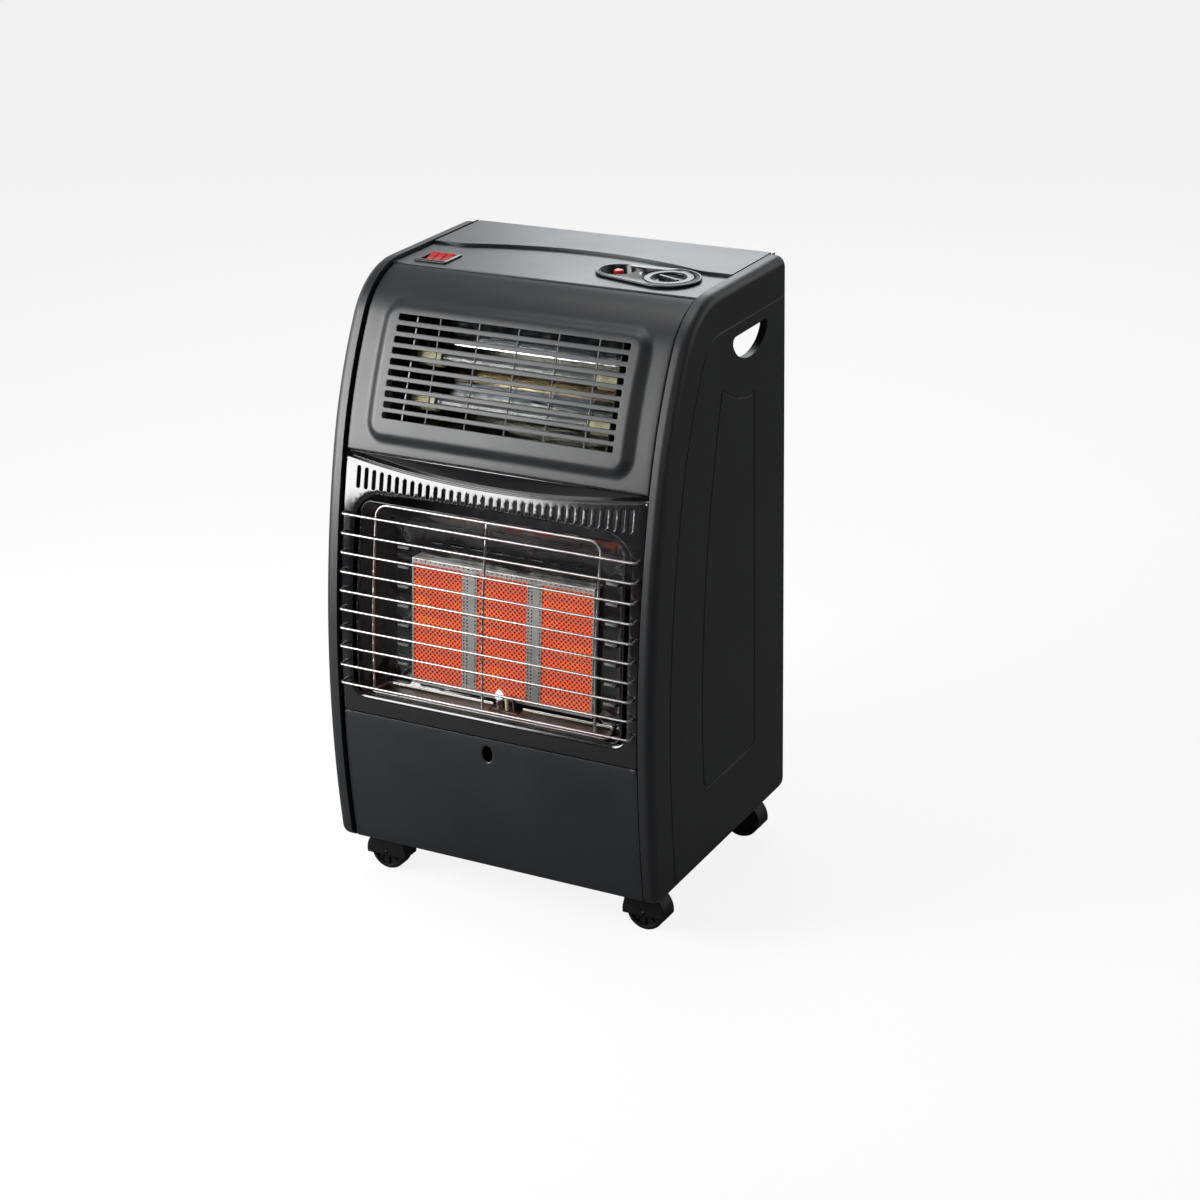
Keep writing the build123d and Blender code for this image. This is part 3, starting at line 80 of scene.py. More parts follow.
MM = 0.001
LOOP_STEP = 3 * MM
BODY_OF = {node: body for body, nodes in frame["record"]["behaviour"]["bodies"].items() for node in nodes}
CASTORS = ("front_left", "front_right", "rear_left", "rear_right")


# ------------------------------------------------------------------ user's values
def user_length(label, text, default):
    """A length that the user can change."""
    return FloatProperty(name=label, description=text, default=default, unit="LENGTH")


def user_angle(label, text, degrees):
    """An angle that the user can change."""
    return FloatProperty(name=label, description=text, default=radians(degrees), subtype="ANGLE")


def user_colour(label, text, default):
    """A colour that the user can change."""
    return FloatVectorProperty(name=label, description=text, size=3, subtype="COLOR", default=default)


class HeaterSizes(bpy.types.PropertyGroup):
    """Sizes of the finished surfaces."""

    sheet: user_length("Sheet", "Thickness of the pressed steel", 1.2 * MM)
    fold_radius: user_length("Fold radius", "Bend at the edges of the front panels", 1.6 * MM)
    boss_rise: user_length("Boss rise", "Height of the pressed boss around the slots", 6 * MM)
    boss_slope: user_length("Boss slope", "Width of the boss's rounded edge", 15 * MM)
    slot_roll: user_length("Slot roll", "Rolled edge around slots and vents", 0.8 * MM)
    ledge_step: user_length("Ledge step", "How far the middle panel steps back", 8 * MM)
    ledge_return: user_length(
        "Ledge return", "How far the recess above the ledge comes forward again", 5 * MM
    )
    coil_pitch: user_length("Coil pitch", "From one turn of a heating coil to the next", 1.5 * MM)
    coil_wire: user_length("Coil wire", "Radius of the heating wire", 0.45 * MM)
    ceramic_cell: user_length("Ceramic cell", "Spacing of the plaques' perforations", 83 / 28 * MM)
    ceramic_hole: user_length("Ceramic hole", "Radius of a plaque's perforation", 1.2 * MM)
    frame_hole: user_length("Frame hole", "Side of a square hole in the burner's frame", 1.8 * MM)
    knob_rim: user_length("Knob rim", "Width of the gas knob's flat rim", 8 * MM)
    rocker_ease: user_length("Rocker edge", "How far the edges of a rocker are rounded", 1.1 * MM)
    screw_head: user_length("Screw head", "Radius of the rear screws' heads", 4 * MM)
    wheel_ribs: IntProperty(
        name="Wheel ribs", description="Spokes in each castor wheel", default=8, min=3
    )


class HeaterColours(bpy.types.PropertyGroup):
    """Colours of the finishes."""

    satin_paint: user_colour("Satin paint", "Powder coat of the cabinet", (0.0095, 0.0105, 0.0125))
    gloss_enamel: user_colour("Gloss enamel", "Middle panel and burner housing", (0.007, 0.007, 0.008))
    inner_grey: user_colour("Inner grey", "Zinc-coated steel inside", (0.2, 0.2, 0.21))
    glow: user_colour("Glow", "Glowing ceramic", (0.68, 0.06, 0.024))
    hot_glow: user_colour("Hot glow", "Hottest patches of the ceramic", (0.9, 0.19, 0.03))
    dim_glow: user_colour("Dim glow", "Cooler bands of the ceramic", (0.42, 0.07, 0.06))
    cream_ceramic: user_colour("Cream ceramic", "Ends of the quartz tubes", (0.62, 0.6, 0.34))
    red_plastic: user_colour("Red plastic", "Rockers and igniter button", (0.6, 0.022, 0.016))
    black_plastic: user_colour("Black plastic", "Knob, bezels and castors", (0.013, 0.013, 0.014))


class HeaterStudio(bpy.types.PropertyGroup):
    """Camera and light."""

    azimuth: user_angle("Azimuth", "Camera's turn to the right", 28.55)
    elevation: user_angle("Elevation", "Camera's height angle", 22.24)
    roll: user_angle("Roll", "Camera's roll", -1.4)
    distance: user_length("Distance", "Camera to the heater's middle", 3.049)
    slide_right: user_length("Slide right", "Camera's side step", 0.05047)
    slide_up: user_length("Slide up", "Camera's step up", -0.02781)
    lens: FloatProperty(
        name="Lens", description="Focal length in millimetres on a 36 mm sensor", default=79.24
    )
    room: FloatProperty(
        name="Room", description="Strength of the light from all round", default=1.0, min=0
    )
    floor: user_colour("Floor", "Colour of the floor", (0.16, 0.16, 0.16))


def sizes():
    return bpy.context.scene.heater_sizes


def colours():
    return bpy.context.scene.heater_colours


# ------------------------------------------------------------------ mesh helpers
def add_object(name, data):
    """An object at the origin, linked to the scene."""
    made = bpy.data.objects.new(name, data)
    bpy.context.scene.collection.objects.link(made)
    return made


def new_piece(name, points, faces):
    """A mesh object at the origin with its place in its mesh."""
    mesh = bpy.data.meshes.new(name)
    mesh.from_pydata([tuple(p) for p in points], [], [tuple(f) for f in faces])
    mesh.update()
    return add_object(name, mesh)


@contextmanager
def edited(piece):
    """The piece's mesh, open for editing."""
    shell = bmesh.new()
    shell.from_mesh(piece.data)
    yield shell
    shell.to_mesh(piece.data)
    shell.free()


def settle(piece):
    """Turn the piece's modifiers into plain mesh."""
    graph = bpy.context.evaluated_depsgraph_get()
    mesh = bpy.data.meshes.new_from_object(
        piece.evaluated_get(graph), preserve_all_data_layers=True, depsgraph=graph
    )
    piece.modifiers.clear()
    old = piece.data
    piece.data = mesh
    bpy.data.meshes.remove(old)
    mesh.name = piece.name
    return piece


def weld(piece):
    """Join the piece's loose triangles."""
    with edited(piece) as shell:
        bmesh.ops.remove_doubles(shell, verts=shell.verts, dist=0.00001)
        bmesh.ops.dissolve_degenerate(shell, edges=shell.edges, dist=0.000001)
    return piece


def soften(piece, angle=32.0):
    """Smooth shading between faces that meet at less than angle degrees."""
    piece.data.shade_smooth()
    piece.data.set_sharp_from_angle(angle=radians(angle))
    even = piece.modifiers.new("even shading", "WEIGHTED_NORMAL")
    even.keep_sharp = True
    return settle(piece)


def give_wall(piece, thickness, angle):
    """Give a sheet its thickness, on its inner side, and smooth shading."""
    wall = piece.modifiers.new("thickness", "SOLIDIFY")
    wall.thickness, wall.offset = thickness, -1
    return soften(settle(piece), angle)


def copy_of(node):
    """A welded copy of a node's mesh."""
    piece = add_object(f"{node}_surface", frame["nodes"][node].data.copy())
    piece.data.name = piece.name
    return weld(piece)


def joined(name, pieces):
    """Several pieces as one mesh."""
    whole = bmesh.new()
    for piece in pieces:
        whole.from_mesh(piece.data)
        bpy.data.objects.remove(piece)
    mesh = bpy.data.meshes.new(name)
    whole.to_mesh(mesh)
    whole.free()
    return add_object(name, mesh)


def belong(piece, finish, node):
    """Give a piece its finish, and the body of the node it sits on."""
    piece.data.materials.clear()
    piece.data.materials.append(finish_named(finish))
    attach(piece, BODY_OF[node])
    return piece


def stand_for(piece, finish, node):
    """Give a piece its finish and let it take the place of a node."""
    belong(piece, finish, node)
    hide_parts(node)


def smooth_nodes(finish, *nodes, angle=32.0):
    """Replace nodes with smooth-shaded copies."""
    for node in nodes:
        stand_for(soften(copy_of(node), angle), finish, node)


def refinish(finish, *nodes):
    """Give nodes that keep their shape a better finish."""
    for node in nodes:
        for place in frame["nodes"][node].material_slots:
            place.material = finish_named(finish)


def turned(name, profile, centre, turns):
    """A profile [(radius, height)] turned about the upright axis through centre."""
    points, faces, rows = [], [], len(profile)
    for step in range(turns):
        angle, ahead = 2 * pi * step / turns, (step + 1) % turns
        for radius, height in profile:
            spot = Vector((radius * cos(angle), radius * sin(angle), height))
            points.append(Vector(centre) + spot)
        for row in range(rows - 1):
            a, b = step * rows + row, ahead * rows + row
            faces.append((a, b, b + 1, a + 1))
    return weld(new_piece(name, points, faces))


def tube(name, line, radius):
    """A round wire along a line of points."""
    curve = bpy.data.curves.new(name, "CURVE")
    curve.dimensions = "3D"
    spline = curve.splines.new("POLY")
    spline.points.add(len(line) - 1)
    for spot, point in zip(spline.points, line):
        spot.co = (*point, 1)
    curve.bevel_depth, curve.bevel_resolution, curve.use_fill_caps = radius, 1, True
    wire = add_object(name, curve)
    graph = bpy.context.evaluated_depsgraph_get()
    mesh = bpy.data.meshes.new_from_object(wire.evaluated_get(graph), depsgraph=graph)
    bpy.data.objects.remove(wire)
    bpy.data.curves.remove(curve)
    return add_object(name, mesh)


def loop_faces(count, loops):
    """Faces between closed loops of count points each."""
    faces = []
    for loop in range(loops - 1):
        for k in range(count):
            a, b = loop * count + k, loop * count + (k + 1) % count
            faces.append((a, b, b + count, a + count))
    return faces


def grid_faces(columns, rows, keep=lambda i, j: True):
    """Faces between the points of a grid, numbered column by column."""
    faces = []
    for i in range(columns - 1):
        for j in range(rows - 1):
            if keep(i, j):
                a, b = i * rows + j, (i + 1) * rows + j
                faces.append((a, b, b + 1, a + 1))
    return faces


def spun(u, v, turn):
    """A flat point turned about the origin."""
    return u * cos(turn) - v * sin(turn), u * sin(turn) + v * cos(turn)


# ------------------------------------------------------- flat patterns and folds
def rounded_loop(width, height, corner, centre, step, arcs):
    """A rounded rectangle as a loop of points; corner is one radius or (lower, upper)."""
    lower, upper = corner if isinstance(corner, tuple) else (corner, corner)
    loop = []
    for sx, sy, start in ((1, -1, -90), (1, 1, 0), (-1, 1, 90), (-1, -1, 180)):
        radius = lower if sy < 0 else upper
        x = centre[0] + sx * (width / 2 - radius)
        y = centre[1] + sy * (height / 2 - radius)
        for k in range(arcs + 1):
            angle = radians(start + 90 * k / arcs)
            loop.append((x + radius * cos(angle), y + radius * sin(angle)))
    return spaced(loop, step)


def spaced(loop, step, closed=True):
    """Add points along a line so that none are further apart than step."""
    result = []
    count = len(loop) if closed else len(loop) - 1
    for k in range(count):
        a, b = np.array(loop[k]), np.array(loop[(k + 1) % len(loop)])
        length = np.linalg.norm(b - a)
        if length > 1e-7:
            parts = max(1, int(np.ceil(length / step)))
            result += [tuple(a + (b - a) * i / parts) for i in range(parts)]
    if not closed:
        result.append(tuple(loop[-1]))
    return result


def oval_loop(width, height, centre, turns):
    """An oval as a loop of points."""
    loop = []
    for k in range(turns):
        angle = 2 * pi * k / turns
        loop.append((centre[0] + width / 2 * cos(angle), centre[1] + height / 2 * sin(angle)))
    return loop


def inside(points, loop):
    """Which points lie inside a closed loop."""
    points, loop = np.asarray(points), np.asarray(loop)
    result = np.zeros(len(points), bool)
    for a, b in zip(loop, np.roll(loop, -1, axis=0)):
        crosses = (a[1] > points[:, 1]) != (b[1] > points[:, 1])
        if abs(b[1] - a[1]) > 1e-12:
            edge = a[0] + (points[:, 1] - a[1]) / (b[1] - a[1]) * (b[0] - a[0])
            result ^= crosses & (points[:, 0] < edge)
    return result


def lattice(half, low, high, step):
    """Evenly spread spots, across from -half to half and up from low to high."""
    xs = np.linspace(-half, half, int(round(2 * half / step)) + 1)
    ys = np.linspace(low, high, int(round((high - low) / step)) + 1)
    return np.array([(x, y) for x in xs for y in ys])


def press_hole(lines, holes, shape, steps):
    """Add a hole with a pressed rim.

    shape(grow) is its loop made wider by grow; steps are (grow, depth), the hole last.
    """
    loops = [(shape(grow), depth) for grow, depth in steps]
    lines += [(loop, depth, True) for loop, depth in loops[:-1]]
    holes.append(loops[-1])


def slot_shape(x, bottom, top, wide, corner, arcs):
    """A slot's loop, made wider by grow, as press_hole asks for it."""
    tall, centre = top - bottom, (x, (top + bottom) / 2)

    def shape(grow):
        size = (wide + 2 * grow, tall + 2 * grow)
        return rounded_loop(*size, corner + grow, centre, LOOP_STEP, arcs)

    return shape


def cut_pattern(outline, lines, holes, spots, clear):
    """Triangles of a flat sheet with loose spots that stay clear of its lines.

    lines are (points, depth, closed) and holes are (points, depth). Returns the
    points, how deep each one is pressed, and the triangles.
    """
    points, press, edges = [], [], []

    def draw(line, depth, closed):
        start = len(points)
        points.extend(line)
        press.extend([depth] * len(line))
        edges.extend((start + k, start + k + 1) for k in range(len(line) - 1))
        if closed:
            edges.append((start + len(line) - 1, start))

    draw(outline, 0.0, True)
    for line in lines:
        draw(*line)
    for loop, depth in holes:
        draw(loop, depth, True)
    drawn = np.array(points)
    keep = inside(spots, outline)
    for loop, _ in holes:
        keep &= ~inside(spots, loop)
    for spot in spots[keep]:
        if np.min(np.hypot(drawn[:, 0] - spot[0], drawn[:, 1] - spot[1])) > clear:
            points.append(tuple(spot))
            press.append(0.0)
    out, _, faces, origin, _, _ = delaunay_2d_cdt([Vector(p) for p in points], edges, [], 0, 1e-7, True)
    flat = np.array([tuple(v) for v in out])
    depth = np.array([press[ids[0]] if ids else 0.0 for ids in origin])
    corners = np.array([list(f) for f in faces])
    middle = flat[corners].mean(axis=1)
    good = inside(middle, outline)
    for loop, _ in holes:
        good &= ~inside(middle, loop)
    return flat, depth, corners[good]


def fold(place, edge, radius):
    """Where a point of the flat pattern goes when the sheet is folded back at edge."""
    side, reach = (1 if place >= 0 else -1), abs(place)
    flat = edge - radius
    if reach <= flat:
        return place, 0.0
    turn = (reach - flat) / radius
    if turn <= pi / 2:
        return side * (flat + radius * sin(turn)), radius * (1 - cos(turn))
    return side * edge, radius + (turn - pi / 2) * radius


def ease(value):
    """A soft step from 0 to 1."""
    value = min(max(value, 0.0), 1.0)
    return value * value * value * (value * (6 * value - 15) + 10)


# --------------------------------------------------------------- the front curve
PANEL_HALF, SPREAD_HALF = 190 * MM, 200 * MM
PANEL_INSET = 4 * MM
FLANGE = 10 * MM
# The arcs of the panels' face, bottom to top: their centre (y, z) and radius.
BULGE = (1.1255, 0.214977, 1.3 - PANEL_INSET)
SHOULDER = (0.407481, 0.394, 0.56 - PANEL_INSET)
BROW = (0.002181, 0.628, 0.092 - PANEL_INSET)
SHOULDER_Z, BROW_Z = 0.529476, 0.674
# How far the face leans back where the upper panel starts and where its two arcs meet.
START_LEAN, KNEE_LEAN = radians(14), radians(30)


def on_height(z):
    """Place (y, z) and outward normal of the front panels' face at height z."""
    y, height, radius = BROW if z >= BROW_Z else SHOULDER if z >= SHOULDER_Z else BULGE
    lean = asin(min(max((z - height) / radius, -1), 1))
    return (y - radius * cos(lean), z), (-cos(lean), sin(lean))


def climb(z):
    """Distance along the upper panel's face from the shoulder's start to height z."""
    _, low, shoulder = SHOULDER
    _, high, brow = BROW
    if z <= low + shoulder * sin(KNEE_LEAN):
        return shoulder * (asin((z - low) / shoulder) - START_LEAN)
    way = brow * (asin(min(1, (z - high) / brow)) - KNEE_LEAN)
    return shoulder * (KNEE_LEAN - START_LEAN) + way


def on_climb(way):
    """Place (y, z) and outward normal after going that far along the upper panel."""
    knee = SHOULDER[2] * (KNEE_LEAN - START_LEAN)
    if way <= knee:
        lean, (y, z, radius) = START_LEAN + way / SHOULDER[2], SHOULDER
    else:
        lean, (y, z, radius) = KNEE_LEAN + (way - knee) / BROW[2], BROW
    return (y - radius * cos(lean), z + radius * sin(lean)), (-cos(lean), sin(lean))


def folded_panel(name, low, high, follow, shape, lines, holes, spots):
    """A front panel: cut flat, pressed to shape, edges folded back, then given its thickness."""
    radius, step, inset = sizes().fold_radius, 5 * MM, 0.3 * MM
    middle, half_high = (low + high) / 2, (high - low) / 2
    spread = radius * (pi / 2 - 1) + FLANGE
    corner_u, corner_v = PANEL_HALF - radius, half_high - radius
    wide, tall = PANEL_HALF + spread, half_high + spread
    ring = [
        (corner_u, -tall), (corner_u, -corner_v), (wide, -corner_v),
        (wide, corner_v), (corner_u, corner_v), (corner_u, tall),
        (-corner_u, tall), (-corner_u, corner_v), (-wide, corner_v),
        (-wide, -corner_v), (-corner_u, -corner_v), (-corner_u, -tall),
    ]
    outline = spaced([(u, v + middle) for u, v in ring], step)
    bends = []
    for part in (0.5, 1.0):
        u, v = corner_u + part * radius * pi / 2, corner_v + part * radius * pi / 2
        bottom, top, end = middle - corner_v + inset, middle + corner_v - inset, corner_u - inset
        for side in (-1, 1):
            upright = [(side * u, bottom), (side * u, top)]
            level = [(-end, middle + side * v), (end, middle + side * v)]
            bends += [(spaced(line, step, False), 0.0, False) for line in (upright, level)]
    flat, press, faces = cut_pattern(outline, bends + lines, holes, spots, 1.2 * MM)
    points = []
    for (u, v), depth in zip(flat, press):
        across, back_u = fold(u, PANEL_HALF, radius)
        along, back_v = fold(v - middle, half_high, radius)
        (y, z), (ny, nz) = follow(middle + along)
        out = shape(across, middle + along) - back_u - back_v - depth
        points.append((across, y + ny * out, z + nz * out))
    return give_wall(new_piece(name, points, faces), sizes().sheet, 50)


# ---------------------------------------------------------------------- finishes
class Nodes:
    """Short calls that add nodes to a tree."""

    def __init__(self, tree):
        self.nodes, self.links = tree.nodes, tree.links

    def put(self, socket, value):
        """Link a socket to an output or to a node's first one, or give it a plain value."""
        if isinstance(value, bpy.types.Node):
            value = value.outputs[0]
        if isinstance(value, bpy.types.NodeSocket):
            self.links.new(value, socket)
        else:
            socket.default_value = (*value, 1.0) if socket.type == "RGBA" else value

    def give(self, node, **values):
        """Link or set a node's inputs."""
        for name, value in values.items():
            self.put(node.inputs[name.replace("_", " ")], value)
        return node

    def add(self, kind, **values):
        """A new node with its inputs linked or set."""
        return self.give(self.nodes.new(kind), **values)

    def math(self, operation, a, b=0.0):
        node = self.add("ShaderNodeMath")
        node.operation = operation
        self.put(node.inputs[0], a)
        self.put(node.inputs[1], b)
        return node


class Work(Nodes):
    """A finish in the making; spot is where its patterns are read."""

    def __init__(self, owner, shader, **values):
        owner.use_nodes = True
        super().__init__(owner.node_tree)
        self.owner, self.shader = owner, self.nodes[shader]
        self.spot = self.add("ShaderNodeTexCoord").outputs["Object"]
        self.surface(**values)

    def surface(self, **values):
        """Link or set the shader's inputs."""
        self.give(self.shader, **values)

    def noise(self, scale, detail=3.0, rough=0.5, stretch=None, warp=0.0):
        spot = self.spot
        if stretch:
            spot = self.add("ShaderNodeMapping", Vector=spot, Scale=stretch)
        node = self.add("ShaderNodeTexNoise", Vector=spot, Scale=scale, Detail=detail)
        return self.give(node, Roughness=rough, Distortion=warp)

    def span(self, value, low, high, to_low=0.0, to_high=1.0):
        """Stretch the values between low and high to the new ends."""
        node = self.add("ShaderNodeMapRange", Value=value, From_Min=low, From_Max=high)
        return self.give(node, To_Min=to_low, To_Max=to_high)

    def along(self, direction):
        """How far the spot lies in a direction."""
        node = self.add("ShaderNodeVectorMath")
        node.operation = "DOT_PRODUCT"
        self.put(node.inputs[0], self.spot)
        self.put(node.inputs[1], direction)
        return node.outputs["Value"]

    def mix(self, factor, a, b):
        """A mix of two colours."""
        node = self.nodes.new("ShaderNodeMix")
        node.data_type = "RGBA"
        for socket, value in (("Factor", factor), (6, a), (7, b)):
            self.put(node.inputs[socket], value)
        return node.outputs[2]

    def shade(self, value, low, high, a, b):
        """Colour a where the value is low, b where it is high."""
        return self.mix(self.span(value, low, high), a, b)

    def bump(self, height, strength, distance, round_edges=0.0):
        """Relief from a height, and a soft light line along sharp edges."""
        node = self.add("ShaderNodeBump", Strength=strength, Distance=distance, Height=height)
        if round_edges:
            edge = self.add("ShaderNodeBevel", Radius=round_edges)
            edge.samples = 4
            self.give(node, Normal=edge)
        self.surface(Normal=node)
        return node


def new_finish(name, **values):
    """A material whose constant values are set on the shader itself."""
    return Work(bpy.data.materials.new(name), "Principled BSDF", **values)


def dim(colour, share):
    """The colour at a share of its brightness."""
    return tuple(c * share for c in colour)


def satin_paint_finish(name, rough):
    """Black powder coat: a fine orange peel, slight patches in its sheen."""
    work = new_finish(name, Specular_IOR_Level=0.8)
    paint = colours().satin_paint
    patches, peel = work.noise(9, 4, 0.55), work.noise(900, 2, 0.5)
    sheen = work.math("ADD", work.math("MULTIPLY", patches, 0.7), work.math("MULTIPLY", peel, 0.3))
    work.surface(
        Base_Color=work.shade(patches, 0.3, 0.7, dim(paint, 0.85), dim(paint, 1.25)),
        Roughness=work.span(sheen, 0.3, 0.7, *rough),
    )
    work.bump(peel, 0.12, 0.05 * MM, 0.7 * MM)
    return work.owner


def gloss_enamel_finish(name, ripple, depth, lean, coat):
    """Deep black stove enamel with dust and a ripple; lean bends its sheen with the depth."""
    work = new_finish(name, Coat_Weight=1.0, Coat_Roughness=0.1, Coat_IOR=coat)
    enamel = colours().gloss_enamel
    dust = work.noise(240, 5, 0.65)
    work.surface(
        Base_Color=work.shade(dust, 0.45, 0.8, enamel, dim(enamel, 2.2)),
        Roughness=work.span(work.noise(35, 3), 0.3, 0.7, 0.1, 0.17),
    )
    swell = work.noise(26, 2, 0.4, warp=0.3)
    if lean:
        front, back = -160 * MM, -113 * MM
        deep = work.span(work.along((0, 1, 0)), front, back, 0.0, lean * (back - front) / depth)
        swell = work.math("ADD", swell, deep)
    work.surface(Coat_Normal=work.bump(swell, ripple, depth, 0.5 * MM))
    return work.owner


def inner_steel_finish():
    """Zinc-coated sheet: faint spangle and a matt skin."""
    work = new_finish("zinc-coated steel", Metallic=0.55)
    grey = colours().inner_grey
    cells = work.add("ShaderNodeTexVoronoi", Vector=work.spot, Scale=110)
    spangle = work.add("ShaderNodeSeparateColor", Color=cells.outputs["Color"])
    halves = [work.math("MULTIPLY", part, 0.5) for part in (spangle, work.noise(14, 4))]
    patches = work.math("ADD", *halves)
    work.surface(
        Base_Color=work.mix(patches, dim(grey, 0.75), dim(grey, 1.25)),
        Roughness=work.span(patches, 0.2, 0.8, 0.42, 0.6),
    )
    work.bump(work.noise(500, 2), 0.08, 0.05 * MM)
    return work.owner


def varied_finish(name, tone, shades, flow, rough, skin, relief, spread=(0.3, 0.7), **values):
    """One colour that drifts with a slow noise, its sheen with it, and a relief.

    shades are the shares of the tone at the noise's ends, which spread gives. The
    relief follows the skin, a finer noise, or the slow noise where skin is None.
    """
    work = new_finish(name, **values)
    drift = work.noise(*flow)
    work.surface(
        Base_Color=work.shade(drift, *spread, *(dim(tone, share) for share in shades)),
        Roughness=work.span(drift, 0.3, 0.7, *rough),
    )
    work.bump(work.noise(*skin) if skin else drift, *relief)
    return work.owner


def metal_finish(name, tone, rough):
    """Plain machined or rolled metal."""
    relief = (0.08, 0.04 * MM)
    return varied_finish(name, tone, (0.85, 1.08), (220, 3, 0.55), rough, None, relief, Metallic=1.0)


def plastic_finish(name, tone, rough, level):
    """Moulded plastic with a fine spark-eroded grain."""
    relief = (0.12, 0.04 * MM, 0.35 * MM)
    return varied_finish(
        name, tone, (0.88, 1.12), (30,), rough, (1400, 2), relief, Specular_IOR_Level=level
    )


def bright_wire_finish():
    """Plated wire with slight dulling."""
    return varied_finish(
        "chromed wire", (0.5, 0.49, 0.485), (0.9, 1.0), (60, 4, 0.6), (0.28, 0.4),
        (700, 2), (0.05, 0.03 * MM), (0.35, 0.7), Metallic=1.0,
    )


def red_plastic_finish():
    """Translucent red switch plastic."""
    return varied_finish(
        "red plastic", colours().red_plastic, (0.85, 1.15), (120,), (0.25, 0.36),
        (900, 2), (0.06, 0.04 * MM, 0.4 * MM),
        Subsurface_Weight=0.25, Subsurface_Scale=1.5 * MM, Coat_Weight=0.4, Coat_Roughness=0.1,
    )


def stainless_finish():
    """Brushed stainless, straw and brown where the burner heats it."""
    work = new_finish("heat-tinted stainless", Metallic=1.0)
    grain = work.noise(60, 3, 0.6, stretch=(0.6, 30, 30))
    tint = work.noise(22, 3, 0.55, warp=0.6)
    steel = work.shade(tint, 0.35, 0.65, (0.15, 0.135, 0.12), (0.24, 0.23, 0.21))
    streaks = work.span(grain, 0.3, 0.7, 0, 0.35)
    work.surface(
        Base_Color=work.mix(streaks, steel, (0.1, 0.085, 0.07)),
        Roughness=work.span(grain, 0.3, 0.7, 0.22, 0.42),
    )
    work.bump(grain, 0.12, 0.06 * MM)
    return work.owner


def reflector_finish():
    """Thin polished sheet with beads along it, hand-bent ripples and heat colours; bands of painted
    reflection and shade run across it at set heights, and its ends are painted darker.
    """
    work = new_finish("polished reflector", Metallic=1.0)
    height = work.along((0, 0, 1))
    heat = work.noise(13, 3, 0.5, stretch=(0.6, 2, 2), warp=0.5)
    tint = work.shade(heat, 0.42, 0.6, (0.1, 0.115, 0.12), (0.16, 0.135, 0.09))
    # Bands of painted reflection and shade, pale, dark and tan: the height where each begins, where it is
    # full, and its colour.
    for start, full, tone in (
        (624, 629, (0.8, 0.81, 0.82)), (638, 643, (0.07, 0.075, 0.08)),
        (612, 606, (0.3, 0.22, 0.11)), (598, 594, (0.03, 0.034, 0.038)),
        (584, 580, (0.1, 0.1, 0.09)), (571, 567, (0.2, 0.2, 0.17)),
    ):
        tint = work.shade(height, start * MM, full * MM, tint, tone)
    # Painted shade: beyond the tube holders the sheet is darkened towards its ends.
    aside = work.math("ABSOLUTE", work.along((1, 0, 0)))
    work.surface(
        Base_Color=work.shade(aside, 116 * MM, 124 * MM, tint, (0.06, 0.06, 0.06)),
        Roughness=work.span(work.noise(90, 3), 0.3, 0.7, 0.1, 0.24),
    )
    waves = work.noise(45, 3, 0.5, stretch=(0.3, 1.6, 1.6), warp=0.6)
    relief = work.math("MULTIPLY", waves, 0.16)
    for bead, share in ((633 * MM, 1.0), (574 * MM, 0.12)):
        away = work.math("ABSOLUTE", work.math("SUBTRACT", height, bead))
        relief = work.math("ADD", relief, work.span(away, 7 * MM, 0.0, 0.0, share))
    work.bump(relief, 1.0, 3.2 * MM)
    return work.owner


def burner_steel_finish():
    """The burner's frame: pale aluminised sheet with a little scale."""
    work = new_finish("aluminised steel", Metallic=0.75)
    scale = work.noise(120, 5, 0.6)
    tone = work.shade(work.noise(18, 3), 0.35, 0.65, (0.33, 0.325, 0.315), (0.46, 0.455, 0.445))
    work.surface(
        Base_Color=work.mix(work.span(scale, 0.55, 0.75, 0, 0.6), tone, (0.3, 0.26, 0.22)),
        Roughness=work.span(scale, 0.3, 0.7, 0.36, 0.55),
    )
    work.bump(scale, 0.15, 0.1 * MM)
    return work.owner


BURNER = Vector((0, -129 * MM, 333 * MM))
BURNER_LEAN = radians(5.5)
BURNER_UP = Vector((0, sin(BURNER_LEAN), cos(BURNER_LEAN)))
BURNER_OUT = Vector((0, -cos(BURNER_LEAN), sin(BURNER_LEAN)))
BURNER_TURN = Matrix((Vector((1, 0, 0)), BURNER_UP, BURNER_OUT)).transposed().to_4x4()
PLAQUE_FACE = -1.5 * MM


def on_burner(x, up, out):
    """A place given across, up along and out of the burner's face."""
    return BURNER + Vector((x, 0, 0)) + BURNER_UP * up + BURNER_OUT * out


